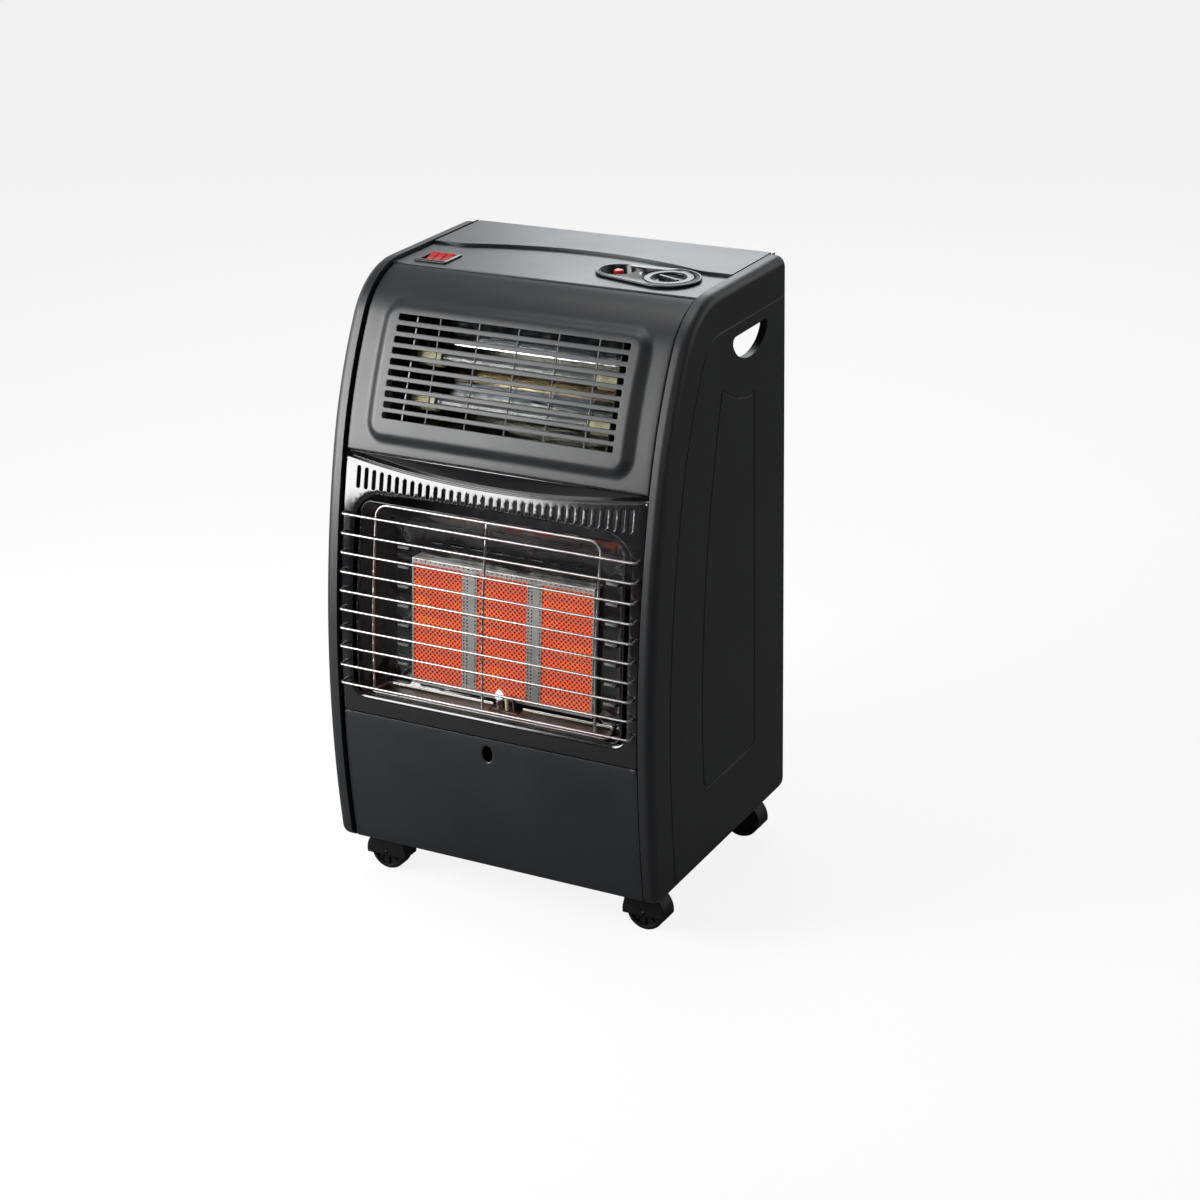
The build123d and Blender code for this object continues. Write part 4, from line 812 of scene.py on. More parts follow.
def glowing_ceramic_finish():
    """Plaques in service: brighter rows with dimmer bands between them every 22.4 mm, hot patches, dimmer
    ends and dark perforations.
    """
    work = new_finish(
        "glowing ceramic", Base_Color=(0.09, 0.03, 0.02), Roughness=0.85, Emission_Strength=1.0
    )
    tint, cell = colours(), sizes().ceramic_cell
    up, out = (work.math("SUBTRACT", work.along(way), BURNER.dot(way)) for way in (BURNER_UP, BURNER_OUT))

    def wave(place, length):
        """A cosine that repeats after that length."""
        return work.math("COSINE", work.math("MULTIPLY", place, 2 * pi / length))

    # Dimmer bands across the plaques every 22.4 mm, with brighter rows between them.
    block = work.span(wave(up, 22.4 * MM), -0.95, -0.35)
    hot = work.span(work.noise(16, 3, 0.55, warp=0.4), 0.48, 0.72)
    glow = work.mix(work.math("MULTIPLY", hot, block), tint.glow, tint.hot_glow)
    glow = work.mix(block, tint.dim_glow, glow)
    ends = work.span(work.math("ABSOLUTE", up), 55 * MM, 68 * MM)
    glow = work.mix(work.math("MULTIPLY", ends, 0.7), glow, tint.dim_glow)
    fine = work.noise(260, 3, 0.6)
    glow = work.mix(work.span(fine, 0.5, 0.8, 0, 0.5), glow, dim(tint.glow, 0.55))
    across = wave(work.math("ADD", work.along((1, 0, 0)), 0.5 * cell), 2 * cell)
    rows = wave(work.math("SUBTRACT", up, 0.5 * cell), 2 * cell)
    holes = work.math("MULTIPLY", across, rows)
    glow = work.mix(work.span(holes, 0.1, -0.9, 0, 0.5), glow, tint.hot_glow)
    glow = work.shade(holes, -0.05, 0.75, glow, dim(tint.glow, 0.3))
    pit = (PLAQUE_FACE - 0.02 * MM, PLAQUE_FACE - 0.2 * MM)
    work.surface(Emission_Color=work.shade(out, *pit, glow, dim(tint.glow, 0.12)))
    work.bump(fine, 0.3, 0.15 * MM)
    return work.owner


def ceramic_finish():
    """Cream ceramic with darker specks."""
    work = new_finish("cream ceramic", Roughness=0.45)
    cream = colours().cream_ceramic
    specks = work.noise(180, 4, 0.6)
    work.surface(Base_Color=work.shade(specks, 0.4, 0.75, cream, dim(cream, 0.72)))
    work.bump(specks, 0.15, 0.1 * MM)
    return work.owner


def quartz_finish():
    """Clear fused quartz with fine draw lines along the tube."""
    work = new_finish("quartz", Base_Color=(0.93, 0.95, 0.96), IOR=1.46, Transmission_Weight=0.9)
    lines = work.noise(40, 2, 0.5, stretch=(0.2, 25, 25))
    work.surface(Roughness=work.span(lines, 0.3, 0.7, 0.03, 0.14))
    work.bump(lines, 0.06, 0.05 * MM)
    return work.owner


def flame_finish():
    """A small gas flame: blue at its root, pale above, orange at its tip."""
    work = new_finish(
        "pilot flame", Base_Color=(0.0, 0.0, 0.0), Roughness=1.0, Specular_IOR_Level=0.0,
        Emission_Strength=1.0,
    )
    rise = work.span(work.along((0, 0, 1)), 263 * MM, 277 * MM)
    flicker = work.math("ADD", rise, work.span(work.noise(300, 2), 0.3, 0.7, -0.15, 0.15))
    low = work.shade(flicker, 0.0, 0.4, (0.35, 0.55, 1.2), (1.3, 1.4, 1.5))
    work.surface(Emission_Color=work.shade(flicker, 0.7, 0.95, low, (0.85, 0.2, 0.05)))
    return work.owner


FINISHES = {}
FINISH_MAKERS = {
    "satin": lambda: satin_paint_finish("satin powder coat", (0.4, 0.48)),
    "top": lambda: satin_paint_finish("satin top", (0.3, 0.38)),
    "gloss": lambda: gloss_enamel_finish("gloss enamel", 0.25, 0.6 * MM, 0.0, 1.55),
    "housing": lambda: gloss_enamel_finish("housing enamel", 1.0, 3.0 * MM, 0.25, 1.6),
    "inner": inner_steel_finish,
    "chrome": bright_wire_finish,
    "stainless": stainless_finish,
    "reflector": reflector_finish,
    "burner": burner_steel_finish,
    "glow": glowing_ceramic_finish,
    "ceramic": ceramic_finish,
    "quartz": quartz_finish,
    "coil": lambda: metal_finish("resistance wire", (0.3, 0.29, 0.29), (0.3, 0.5)),
    "dark wire": lambda: metal_finish("dull wire", (0.2, 0.19, 0.19), (0.3, 0.45)),
    "scorched": lambda: metal_finish("scorched steel", (0.2, 0.15, 0.13), (0.3, 0.5)),
    "brass": lambda: metal_finish("brass", (0.62, 0.43, 0.17), (0.22, 0.38)),
    "pipe": lambda: metal_finish("aluminium pipe", (0.66, 0.66, 0.65), (0.3, 0.46)),
    "steel": lambda: metal_finish("plated steel", (0.55, 0.55, 0.56), (0.2, 0.36)),
    "plastic": lambda: plastic_finish("black plastic", colours().black_plastic, (0.18, 0.3), 0.5),
    "castor": lambda: plastic_finish(
        "castor plastic", dim(colours().black_plastic, 0.7), (0.42, 0.55), 0.3
    ),
    "red": red_plastic_finish,
    "flame": flame_finish,
}


def finish_named(name):
    """Each finish is made once and shared."""
    if name not in FINISHES:
        FINISHES[name] = FINISH_MAKERS[name]()
    return FINISHES[name]


# ---------------------------------------------------------------- geometry nodes
class Tree(Nodes):
    """A geometry node tree with named inputs, built call by call."""

    def __init__(self, name, **inputs):
        """inputs are plain defaults, or "Object" or "Material"."""
        self.tree = bpy.data.node_groups.new(name, "GeometryNodeTree")
        super().__init__(self.tree)
        sockets = self.tree.interface
        sockets.new_socket("Geometry", in_out="OUTPUT", socket_type="NodeSocketGeometry")
        self.ids = {}
        for key, default in inputs.items():
            kind = {int: "Int", float: "Float"}.get(type(default), default)
            socket = sockets.new_socket(
                key.replace("_", " "), in_out="INPUT", socket_type=f"NodeSocket{kind}"
            )
            if kind != default:
                socket.default_value = default
            self.ids[key] = socket.identifier
        self.given = self.nodes.new("NodeGroupInput").outputs

    def put(self, socket, value):
        """As above, with the name of one of the tree's inputs as one more kind of value."""
        super().put(socket, self.given[value] if isinstance(value, str) else value)

    def copies(self, points, **turn):
        """The object called Copy on each point."""
        copy = self.add("GeometryNodeObjectInfo", Object="Copy", As_Instance=True)
        placed = self.add("GeometryNodeInstanceOnPoints", Points=points, **turn)
        return self.give(placed, Instance=copy.outputs["Geometry"])

    def end(self, geometry):
        """Close the tree with Realize Instances and Set Material."""
        whole = self.add("GeometryNodeRealizeInstances", Geometry=geometry)
        coat = self.add("GeometryNodeSetMaterial", Geometry=whole, Material="Finish")
        self.add("NodeGroupOutput", Geometry=coat)
        return self

    def run(self, name, finish, matrix, **values):
        """Evaluate the tree with its inputs set by identifier, as a plain mesh piece."""
        piece = add_object(name, bpy.data.meshes.new(name))
        maker = piece.modifiers.new(name, "NODES")
        maker.node_group = self.tree
        for key, value in {**values, "Finish": finish_named(finish)}.items():
            maker[self.ids[key]] = value
        settle(piece).data.transform(matrix)
        return piece


def grid_tree(name, merged=False):
    """Copies of one object on a grid in the XY plane, merged where they meet if asked."""
    tree = Tree(name, Copy="Object", Columns=4, Rows=1, Width=0.3, Height=0.0, Finish="Material")
    grid = tree.add(
        "GeometryNodeMeshGrid", Size_X="Width", Size_Y="Height", Vertices_X="Columns",
        Vertices_Y="Rows",
    )
    whole = tree.copies(grid)
    if merged:
        real = tree.add("GeometryNodeRealizeInstances", Geometry=whole)
        whole = tree.add("GeometryNodeMergeByDistance", Geometry=real, Distance=0.00002)
    return tree.end(whole)


def ring_tree():
    """Copies of one object round the Z axis."""
    tree = Tree("ring of copies", Copy="Object", Count=8, Finish="Material")
    points = tree.add("GeometryNodePoints", Count="Count")
    share = tree.math("DIVIDE", tree.add("GeometryNodeInputIndex"), "Count")
    turn = tree.add("ShaderNodeCombineXYZ", Z=tree.math("MULTIPLY", share, 2 * pi))
    return tree.end(tree.copies(points, Rotation=turn))


def coil_tree():
    """A wire wound round the X axis."""
    tree = Tree(
        "wound wire", Turns=100.0, Coil_Radius=0.004, Length=0.2, Wire_Radius=0.0004,
        Resolution=12, Finish="Material",
    )
    spiral = tree.add(
        "GeometryNodeCurveSpiral", Resolution="Resolution", Rotations="Turns",
        Start_Radius="Coil Radius", End_Radius="Coil Radius", Height="Length",
    )
    section = tree.add("GeometryNodeCurvePrimitiveCircle", Resolution=5, Radius="Wire Radius")
    wire = tree.add("GeometryNodeCurveToMesh", Curve=spiral, Profile_Curve=section, Fill_Caps=True)
    smooth = tree.add("GeometryNodeSetShadeSmooth", Geometry=wire)
    laid = tree.add("GeometryNodeTransform", Geometry=smooth, Rotation=(0, pi / 2, 0))
    return tree.end(laid)


# ---------------------------------------------------------------- cabinet pieces
UPPER_LOW, UPPER_HIGH = 530 * MM, 714.6 * MM
MIDDLE_LOW, MIDDLE_HIGH = 225.8 * MM, 528.8 * MM
LOWER_LOW, LOWER_HIGH = 58 * MM, 224.6 * MM
BOSS_Z, BOSS_WIDE, BOSS_HIGH, BOSS_CORNER = 616.5 * MM, 162 * MM, 69.5 * MM, 18 * MM
SLOT_TOP, SLOT_PITCH, SLOT_WIDE = 671.5 * MM, 11.08 * MM, 289 * MM
VENT_PITCH, VENT_LOW = 10.1 * MM, MIDDLE_HIGH - 40 * MM
GUARD_TOP, GUARD_PITCH, GUARD_HOLE = 461 * MM, 22 * MM, 3.6 * MM
# Places above and below the ledge, in millimetres, and the share of its step there.
LEDGE_STEPS = (-2.6, -1.6, -1.1, -0.6, -0.25, 0.0, 0.35, 0.6, 1.0)
LEDGE_DEPTHS = (0.0, 0.0, 0.0, 0.015, 0.05, 0.13, 0.9, 0.98, 1.0)


def boss_gap(x, way):
    """How far a spot of the upper panel lies outside the boss."""
    (_, z), _ = on_climb(way)
    dx, dz = abs(x) - BOSS_WIDE + BOSS_CORNER, abs(z - BOSS_Z) - BOSS_HIGH + BOSS_CORNER
    return sqrt(max(dx, 0) ** 2 + max(dz, 0) ** 2) + min(max(dx, dz), 0) - BOSS_CORNER


class HEATER_OT_upper_panel(bpy.types.Operator):
    """Upper front panel: soft pressed boss with ten slots, folded edges"""

    bl_idname = "heater.upper_panel"
    bl_label = "Upper front panel"

    def execute(self, context):
        s = sizes()
        low, high = climb(UPPER_LOW), climb(UPPER_HIGH)
        lines, holes, roll = [], [], s.slot_roll
        for row in range(10):
            z = SLOT_TOP - SLOT_PITCH * row
            slot = slot_shape(0, climb(z - 3 * MM), climb(z + 3 * MM), SLOT_WIDE, 1.6 * MM, 5)
            press_hole(lines, holes, slot, ((roll, 0), (0.3 * roll, 0.25 * roll), (0, roll)))

        def height(x, way):
            return s.boss_rise * ease(0.5 - boss_gap(x, way) / s.boss_slope)

        def sloping(spot):
            return abs(boss_gap(spot[0], min(max(spot[1], low), high))) < 0.6 * s.boss_slope

        coarse = lattice(SPREAD_HALF, low - 10 * MM, high + 10 * MM, 6 * MM)
        fine = lattice(180 * MM, low, high, 2.4 * MM)
        spots = np.array([p for p in coarse if not sloping(p)] + [p for p in fine if sloping(p)])
        piece = folded_panel("upper_front_panel_sheet", low, high, on_climb, height, lines, holes, spots)
        stand_for(piece, "satin", "upper_front_panel")
        return {"FINISHED"}


def ledge_height(x):
    """Height of the smile-shaped ledge at x."""
    sag, x = 15 * MM, min(max(x, -PANEL_HALF), PANEL_HALF)
    radius = (PANEL_HALF**2 + sag**2) / (2 * sag)
    return MIDDLE_HIGH - 21 * MM + radius - sqrt(radius**2 - x**2)


def opening_loop(grow):
    """The heat opening: arched top, wide upper corners."""
    half, high = 176 * MM + grow, MIDDLE_HIGH - 42 * MM + grow
    low, arch = MIDDLE_HIGH - 280 * MM - grow, 4 * MM
    centre = (0, (low + high - arch) / 2)
    corners = (17 * MM + grow, 34 * MM + grow)
    loop = rounded_loop(2 * half, high - arch - low, corners, centre, LOOP_STEP, 10)
    return [(x, z + (arch * (1 - (x / half) ** 2) if z > centre[1] else 0)) for x, z in loop]


class HEATER_OT_middle_panel(bpy.types.Operator):
    """Middle front panel: smile-shaped ledge, rolled vents, heat opening, guard holes"""

    bl_idname = "heater.middle_panel"
    bl_label = "Middle front panel"

    def execute(self, context):
        s = sizes()
        lines, holes, roll = [], [], s.slot_roll
        for part in LEDGE_STEPS + (1.6,):
            across = np.linspace(-187 * MM, 187 * MM, 95)
            lines.append(([(x, ledge_height(x) + part * MM) for x in across], 0.0, False))
        for place in range(-17, 18):
            x = place * VENT_PITCH
            top = ledge_height(x) - 6.5 * MM
            vent = slot_shape(x, VENT_LOW, top, 4.4 * MM, 2.15 * MM, 4)
            steps = ((0.7 * roll, 0), (0.25 * roll, 0.2 * roll), (0, 0.9 * roll))
            press_hole(lines, holes, vent, steps)
        rim = ((5, 0), (3.4, 0.25), (2.2, 0.7), (1.2, 1.3), (0.5, 2.1), (0, 3))
        press_hole(lines, holes, opening_loop, [(g * MM, d * MM) for g, d in rim])
        for row in range(10):
            for x in (-186 * MM, 186 * MM):
                spot = (x, GUARD_TOP - GUARD_PITCH * row)
                holes.append((oval_loop(GUARD_HOLE, GUARD_HOLE, spot, 12), 0.0))

        def height(x, z):
            ledge = ledge_height(x)
            steps = [part * MM for part in LEDGE_STEPS] + [MIDDLE_HIGH - ledge]
            depths = [part * s.ledge_step for part in LEDGE_DEPTHS]
            depths.append(s.ledge_step - s.ledge_return)
            return -float(np.interp(z - ledge, steps, depths))

        spots = lattice(SPREAD_HALF, MIDDLE_LOW - 10 * MM, MIDDLE_HIGH + 10 * MM, 6 * MM)
        spots = np.array([(x, z) for x, z in spots if abs(z - ledge_height(x)) >= 5 * MM])
        piece = folded_panel(
            "middle_front_panel_sheet", MIDDLE_LOW, MIDDLE_HIGH, on_height, height,
            lines, holes, spots,
        )
        stand_for(piece, "gloss", "middle_front_panel")
        return {"FINISHED"}


class HEATER_OT_lower_panel(bpy.types.Operator):
    """Lower front panel: plain bowed sheet with an oval peep hole"""

    bl_idname = "heater.lower_panel"
    bl_label = "Lower front panel"

    def execute(self, context):
        low, high, lines, holes = LOWER_LOW, LOWER_HIGH, [], []
        press_hole(
            lines, holes,
            lambda g: oval_loop(13 * MM + 2 * g, 20 * MM + 2 * g, (0, 205.6 * MM), 28),
            ((1.8 * MM, 0), (0.8 * MM, 0.3 * MM), (0, 1.2 * MM)),
        )
        spots = lattice(SPREAD_HALF, low - 10 * MM, high + 10 * MM, 8 * MM)
        piece = folded_panel(
            "lower_front_panel_sheet", low, high, on_height, lambda x, z: 0.0,
            lines, holes, spots,
        )
        stand_for(piece, "satin", "lower_front_panel")
        return {"FINISHED"}


class HEATER_OT_cabinet(bpy.types.Operator):
    """Side panels, top, rear cover and the steel inside"""

    bl_idname = "heater.cabinet"
    bl_label = "Cabinet"

    def execute(self, context):
        smooth_nodes("satin", "side_panel_left", "side_panel_right")
        smooth_nodes("top", "top_plate", "control_panel")
        smooth_nodes("inner", "castor_sockets", "rear_cover")
        refinish("inner", "cross_rails", "divider_wall", "base_tray")
        return {"FINISHED"}


class HEATER_OT_rear_screws(bpy.types.Operator):
    """Pan-head screws with a cross recess along the top plate's rear edge"""

    bl_idname = "heater.rear_screws"
    bl_label = "Rear screws"

    def execute(self, context):
        head, count = sizes().screw_head, 24
        loops = [
            [(*spun(radius * head, 0, 2 * pi * k / count), z * MM) for k in range(count)]
            for radius, z in ((0.5, -9.2), (0.5, 0.0), (1.0, 0.0), (0.97, 0.5), (0.8, 1.0), (0.6, 1.2))
        ]
        arm = ((0.5, 0.0), (0.5, 0.134), (0.3, 0.16), (0.16, 0.16), (0.16, 0.3), (0.134, 0.5))
        for size, z in ((head, 1.2), (0.8 * head, -0.3)):
            loops.append([
                (*spun(size * u, size * v, quarter * pi / 2), z * MM)
                for quarter in range(4) for u, v in arm
            ])
        ends = [range(count - 1, -1, -1), range((len(loops) - 1) * count, len(loops) * count)]
        points = [spot for loop in loops for spot in loop]
        screw = new_piece("screw_pattern", points, ends + loop_faces(count, len(loops)))
        soften(screw, 40)
        low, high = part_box("rear_screws")
        place = Matrix.Translation((0, high[1] - 1.3 * MM, (low[2] + high[2]) / 2))
        row = grid_tree("row of screws").run(
            "rear_screws_row", "steel", place @ Matrix.Rotation(-pi / 2, 4, "X"),
            Copy=screw, Columns=4, Rows=1, Width=0.3, Height=0.0,
        )
        bpy.data.objects.remove(screw)
        stand_for(row, "steel", "rear_screws")
        return {"FINISHED"}


# ----------------------------------------------------------------- burner pieces
PLAQUES = ((-83 * MM, "left"), (0.0, "centre"), (83 * MM, "right"))
PLAQUE_HALF_WIDE, PLAQUE_HALF_TALL, PLAQUE_DEPTH, PIT_DEPTH = 33 * MM, 72 * MM, 12 * MM, 1.1 * MM


def burner_place(up, out):
    """The matrix that sets a flat thing on the burner's face."""
    return Matrix.Translation(on_burner(0, up, out)) @ BURNER_TURN


class HEATER_OT_plaques(bpy.types.Operator):
    """Three perforated ceramic plaques, tiled by geometry nodes"""

    bl_idname = "heater.plaques"
    bl_label = "Ceramic plaques"

    def execute(self, context):
        cell, wide = sizes().ceramic_cell, 2 * sizes().ceramic_hole
        side = 2 * cell
        outline = spaced([(0, 0), (side, 0), (side, side), (0, side)], cell)
        pits = [(oval_loop(wide, wide, (part * side, part * side), 12), 0.0) for part in (0.25, 0.75)]
        flat, _, faces = cut_pattern(outline, [], pits, np.array([(cell, cell)]), 0.1 * MM)
        points, faces = [(x - cell, y - cell, 0.0) for x, y in flat], list(faces)
        for loop, _ in pits:
            rim = [int(np.argmin(((flat - spot) ** 2).sum(axis=1))) for spot in loop]
            middle, start, count = np.mean(loop, axis=0), len(points), len(loop)
            for spot in loop:
                points.append((*(middle + (spot - middle) * 0.75 - cell), -PIT_DEPTH))
            for k in range(count):
                ahead = (k + 1) % count
                faces.append((rim[k], rim[ahead], start + ahead, start + k))
            faces.append(range(start, start + count))
        tile = new_piece("ceramic_tile", points, faces)
        tree = grid_tree("perforated sheet", merged=True)
        corners = ((-1, -1), (1, -1), (1, 1), (-1, 1))
        walls = [(0, 4, 5, 1), (1, 5, 6, 2), (2, 6, 7, 3), (3, 7, 4, 0), (7, 6, 5, 4)]
        for shift, place in PLAQUES:
            face = tree.run(
                f"plaque_face_{place}", "glow",
                Matrix.Translation((shift, 0, 0)) @ burner_place(0, PLAQUE_FACE),
                Copy=tile, Columns=11, Rows=24, Width=10 * side, Height=23 * side,
            )
            block = [
                on_burner(shift + x * PLAQUE_HALF_WIDE, y * PLAQUE_HALF_TALL, out)
                for out in (PLAQUE_FACE, PLAQUE_FACE - PLAQUE_DEPTH) for x, y in corners
            ]
            body = new_piece(f"plaque_block_{place}", block, walls)
            plaque = joined(f"ceramic_plaque_{place}_tiles", [face, body])
            stand_for(plaque, "glow", f"ceramic_plaque_{place}")
        bpy.data.objects.remove(tile)
        return {"FINISHED"}


class HEATER_OT_burner_frame(bpy.types.Operator):
    """Pale steel frame with rows of square holes beside the plaques"""

    bl_idname = "heater.burner_frame"
    bl_label = "Burner frame"

    def execute(self, context):
        half_hole = sizes().frame_hole / 2
        half_wide, half_tall, bend, depth = 118 * MM, 75 * MM, 1.2 * MM, 8 * MM
        window_wide, window_tall, edge_row = 32 * MM, 69 * MM, 72 * MM
        first_gap, second_gap, row_pitch, column_pitch = 2.2 * MM, 6.4 * MM, 4.2 * MM, 6.2 * MM
        windows = [(shift - window_wide, shift + window_wide) for shift, _ in PLAQUES]
        beside = [edge for left, right in windows for edge in (left - first_gap, right + first_gap)]
        beside += [right + second_gap for _, right in windows[:2]]
        rows = [k * row_pitch for k in range(-16, 17)]
        across = [k * column_pitch for k in range(-18, 19)]

        def steps(holes, edges, half):
            """Lines of the grid: at the holes, at edges and through the bend."""
            turn = bend * pi / 2
            bends = [half - bend + way for way in (0, turn / 3, turn * 2 / 3, turn, turn + depth)]
            places = [hole + side * half_hole for hole in holes for side in (-1, 1)] + edges
            places += [side * place for place in bends for side in (-1, 1)]
            kept = []
            for place in sorted(places):
                if not kept or place - kept[-1] > 0.05 * MM:
                    kept.append(place)
            return kept

        us = steps(beside + across, [edge for window in windows for edge in window], half_wide)
        vs = steps(rows + [-edge_row, edge_row], [-window_tall, window_tall], half_tall)
        points = []
        for u in us:
            for v in vs:
                x, back_u = fold(u, half_wide, bend)
                y, back_v = fold(v, half_tall, bend)
                points.append(on_burner(x, y, -back_u - back_v))

        def near(place, holes):
            return any(abs(place - hole) < half_hole for hole in holes)

        def solid(i, j):
            """False in the cut corners, the windows and the holes."""
            u, v = (us[i] + us[i + 1]) / 2, (vs[j] + vs[j + 1]) / 2
            if abs(u) > half_wide - bend and abs(v) > half_tall - bend:
                return False
            if abs(v) < window_tall and any(left < u < right for left, right in windows):
                return False
            at_edge = near(v, (-edge_row, edge_row)) and near(u, across)
            return not at_edge and not (near(u, beside) and near(v, rows))

        faces = grid_faces(len(us), len(vs), solid)
        piece = new_piece("burner_frame_sheet", points, faces)
        with edited(piece) as shell:
            loose = [spot for spot in shell.verts if not spot.link_faces]
            bmesh.ops.delete(shell, geom=loose, context="VERTS")
        stand_for(give_wall(piece, 1.0 * MM, 35), "burner", "burner_frame")
        return {"FINISHED"}


class HEATER_OT_burner_housing(bpy.types.Operator):
    """Gloss funnel, its louvre hoods, and the burner parts behind it"""

    bl_idname = "heater.burner_housing"
    bl_label = "Burner housing"

    def execute(self, context):
        smooth_nodes("housing", "burner_housing", angle=28)
        refinish("burner", "burner_plenum")
        refinish("brass", "injectors", "gas_manifold")
        half, end, tall, out, points = 8.4 * MM, 1.6 * MM, 2.2 * MM, 2.6 * MM, []
        for x, full in ((-half, 0), (end - half, 1), (half - end, 1), (half, 0)):
            for bow in (0, 30, 60, 90):
                down = 2 * tall * (1 - cos(radians(bow))) * 0.9
                points.append((x, tall - down, out * sin(radians(bow)) * full))
        hood = give_wall(new_piece("louvre_hood", points, grid_faces(4, 4)), 0.6 * MM, 50)
        hoods = grid_tree("rows of louvres").run(
            "louvre_hoods", "satin", burner_place(0.5 * MM, -9.95 * MM),
            Copy=hood, Columns=2, Rows=8, Width=268 * MM, Height=7 * 23.2 * MM,
        )
        bpy.data.objects.remove(hood)
        belong(hoods, "satin", "burner_housing")
        return {"FINISHED"}


FLOOR_BACK = on_burner(0, -81 * MM, -10 * MM)
FLOOR_FRONT = on_burner(0, -88.5 * MM, 45 * MM)


def on_tray(x, back, up):
    """A place on the housing's floor: across, towards the back, up."""
    ahead = (FLOOR_FRONT - FLOOR_BACK).normalized()
    rise = ahead.cross(Vector((1, 0, 0))).normalized()
    return FLOOR_BACK + Vector((x, 0, 0)) - ahead * back + rise * up


class HEATER_OT_drip_tray(bpy.types.Operator):
    """Stainless tray with a rolled rim, and the pilot parts in its notch"""

    bl_idname = "heater.drip_tray"
    bl_label = "Drip tray and pilot"

    def execute(self, context):
        smooth_nodes("stainless", "drip_tray")
        smooth_nodes("scorched", "pilot_burner", "thermocouple")
        smooth_nodes("ceramic", "spark_electrode")
        # The rim in millimetres across and towards the back, from the notch round to it.
        path = [(30.5, -11), (146, -11), (153, -40), (-153, -40), (-146, -11), (-8.5, -11)]
        path = [np.array(spot) for spot in path]
        rim = [path[0]]
        for before, spot, after in zip(path, path[1:], path[2:]):
            a, b = ((end - spot) / np.linalg.norm(end - spot) for end in (before, after))
            rim += [spot + 6 * ((1 - t) ** 2 * a + t**2 * b) for t in np.linspace(0, 1, 7)]
        rim.append(path[-1])
        bead = tube("drip_tray_rim", [on_tray(x * MM, y * MM, 3.6 * MM) for x, y in rim], 0.9 * MM)
        belong(soften(bead, 60), "chrome", "drip_tray")
        profile = ((0, 0), (2.8, 0.8), (4.6, 3), (4.9, 5.2), (3.6, 8.6), (1.5, 11.8), (0, 13.5))
        flame = turned(
            "pilot_flame", [(radius * MM, height * MM) for radius, height in profile],
            on_tray(3 * MM, -16.5 * MM, 12 * MM), 20,
        )
        belong(soften(flame, 80), "flame", "pilot_burner")
        return {"FINISHED"}


class HEATER_OT_guard(bpy.types.Operator):
    """Chromed wire guard"""

    bl_idname = "heater.guard"
    bl_label = "Guard"

    def execute(self, context):
        smooth_nodes("chrome", "guard", angle=55)
        return {"FINISHED"}


class HEATER_OT_electric_heater(bpy.types.Operator):
    """Quartz tubes with wound coils, ceramic ends, reflector and safety wires"""

    bl_idname = "heater.electric_heater"
    bl_label = "Electric heater"

    def execute(self, context):
        smooth_nodes("reflector", "electric_reflector", angle=20)
        smooth_nodes("quartz", "quartz_tubes", angle=50)
        smooth_nodes("ceramic", "tube_holders", angle=50)
        smooth_nodes("dark wire", "safety_wires", angle=55)
        s, length, tree = sizes(), 214 * MM, coil_tree()
        coils = [
            tree.run(
                "coil", "coil", Matrix.Translation((-length / 2, y * MM, z * MM)),
                Turns=length / s.coil_pitch, Coil_Radius=3.5 * MM, Length=length,
                Wire_Radius=s.coil_wire, Resolution=14,
            )
            for y, z in ((-62, 627), (-80, 581))
        ]
        stand_for(joined("heating_coils_wound", coils), "coil", "heating_coils")
        return {"FINISHED"}


# ---------------------------------------------------------------------- controls
class HEATER_OT_controls(bpy.types.Operator):
    """Bezel, gas knob, igniter button and rocker switches"""

    bl_idname = "heater.controls"
    bl_label = "Controls"

    def execute(self, context):
        bezels = ("dial_bezel", "switch_bezel", "switch_block", "igniter_body")
        smooth_nodes("plastic", *bezels, angle=38)
        smooth_nodes("red", "igniter_button", angle=38)
        for node in ("rocker_1", "rocker_2", "rocker_3"):
            rocker = copy_of(node)
            eased = rocker.modifiers.new("eased edges", "BEVEL")
            eased.width, eased.segments, eased.angle_limit = sizes().rocker_ease, 3, radians(35)
            stand_for(soften(settle(rocker), 38), "red", node)
        low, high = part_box("gas_knob")
        x, y, radius = (low[0] + high[0]) / 2, (low[1] + high[1]) / 2, (high[0] - low[0]) / 2
        top, bottom, inner = high[2], low[2], radius - sizes().knob_rim
        # Millimetres out from the bore, the knob's edge or the rim's inner edge, and up.
        profile = [
            (base + out * MM, end + up * MM)
            for base, end, out, up in (
                (0, bottom, 3.2, 5), (0, bottom, 3.2, 0), (radius, bottom, -0.8, 0),
                (radius, bottom, 0, 0.8), (radius, top, 0, -1.2), (radius, top, -0.35, -0.35),
                (radius, top, -1.2, 0), (inner, top, 0.8, 0), (inner, top, 0.2, -0.3),
                (inner, top, -0.2, -1.0), (inner, top, -1.2, -3.2), (inner, top, -3, -4.2),
                (0, top, 0, -4.4),
            )
        ]
        body = turned("knob_body", profile, (x, y, 0), 96)
        long, wide, points = 31 * MM, 4.6 * MM, []
        grip = rounded_loop(long, wide, 2.2 * MM, (0, 0), 2 * MM, 6)
        # How far the finger bar is widened, and how far it lies below the knob's top.
        layers = ((0.6, 4.6), (0.2, 1.0), (-0.15, 0.3), (-0.7, 0.02))
        for grow, down in layers:
            for u, v in grip:
                across, along = u * (1 + 2 * grow * MM / long), v * (1 + 2 * grow * MM / wide)
                spot = spun(across, along, radians(-23))
                points.append((x + spot[0], y + spot[1], top - down * MM))
        lid = range((len(layers) - 1) * len(grip), len(layers) * len(grip))
        bar = new_piece("knob_bar", points, loop_faces(len(grip), len(layers)) + [lid])
        knob = joined("gas_knob_turned", [body, bar])
        stand_for(soften(knob, 40), "plastic", "gas_knob")
        return {"FINISHED"}


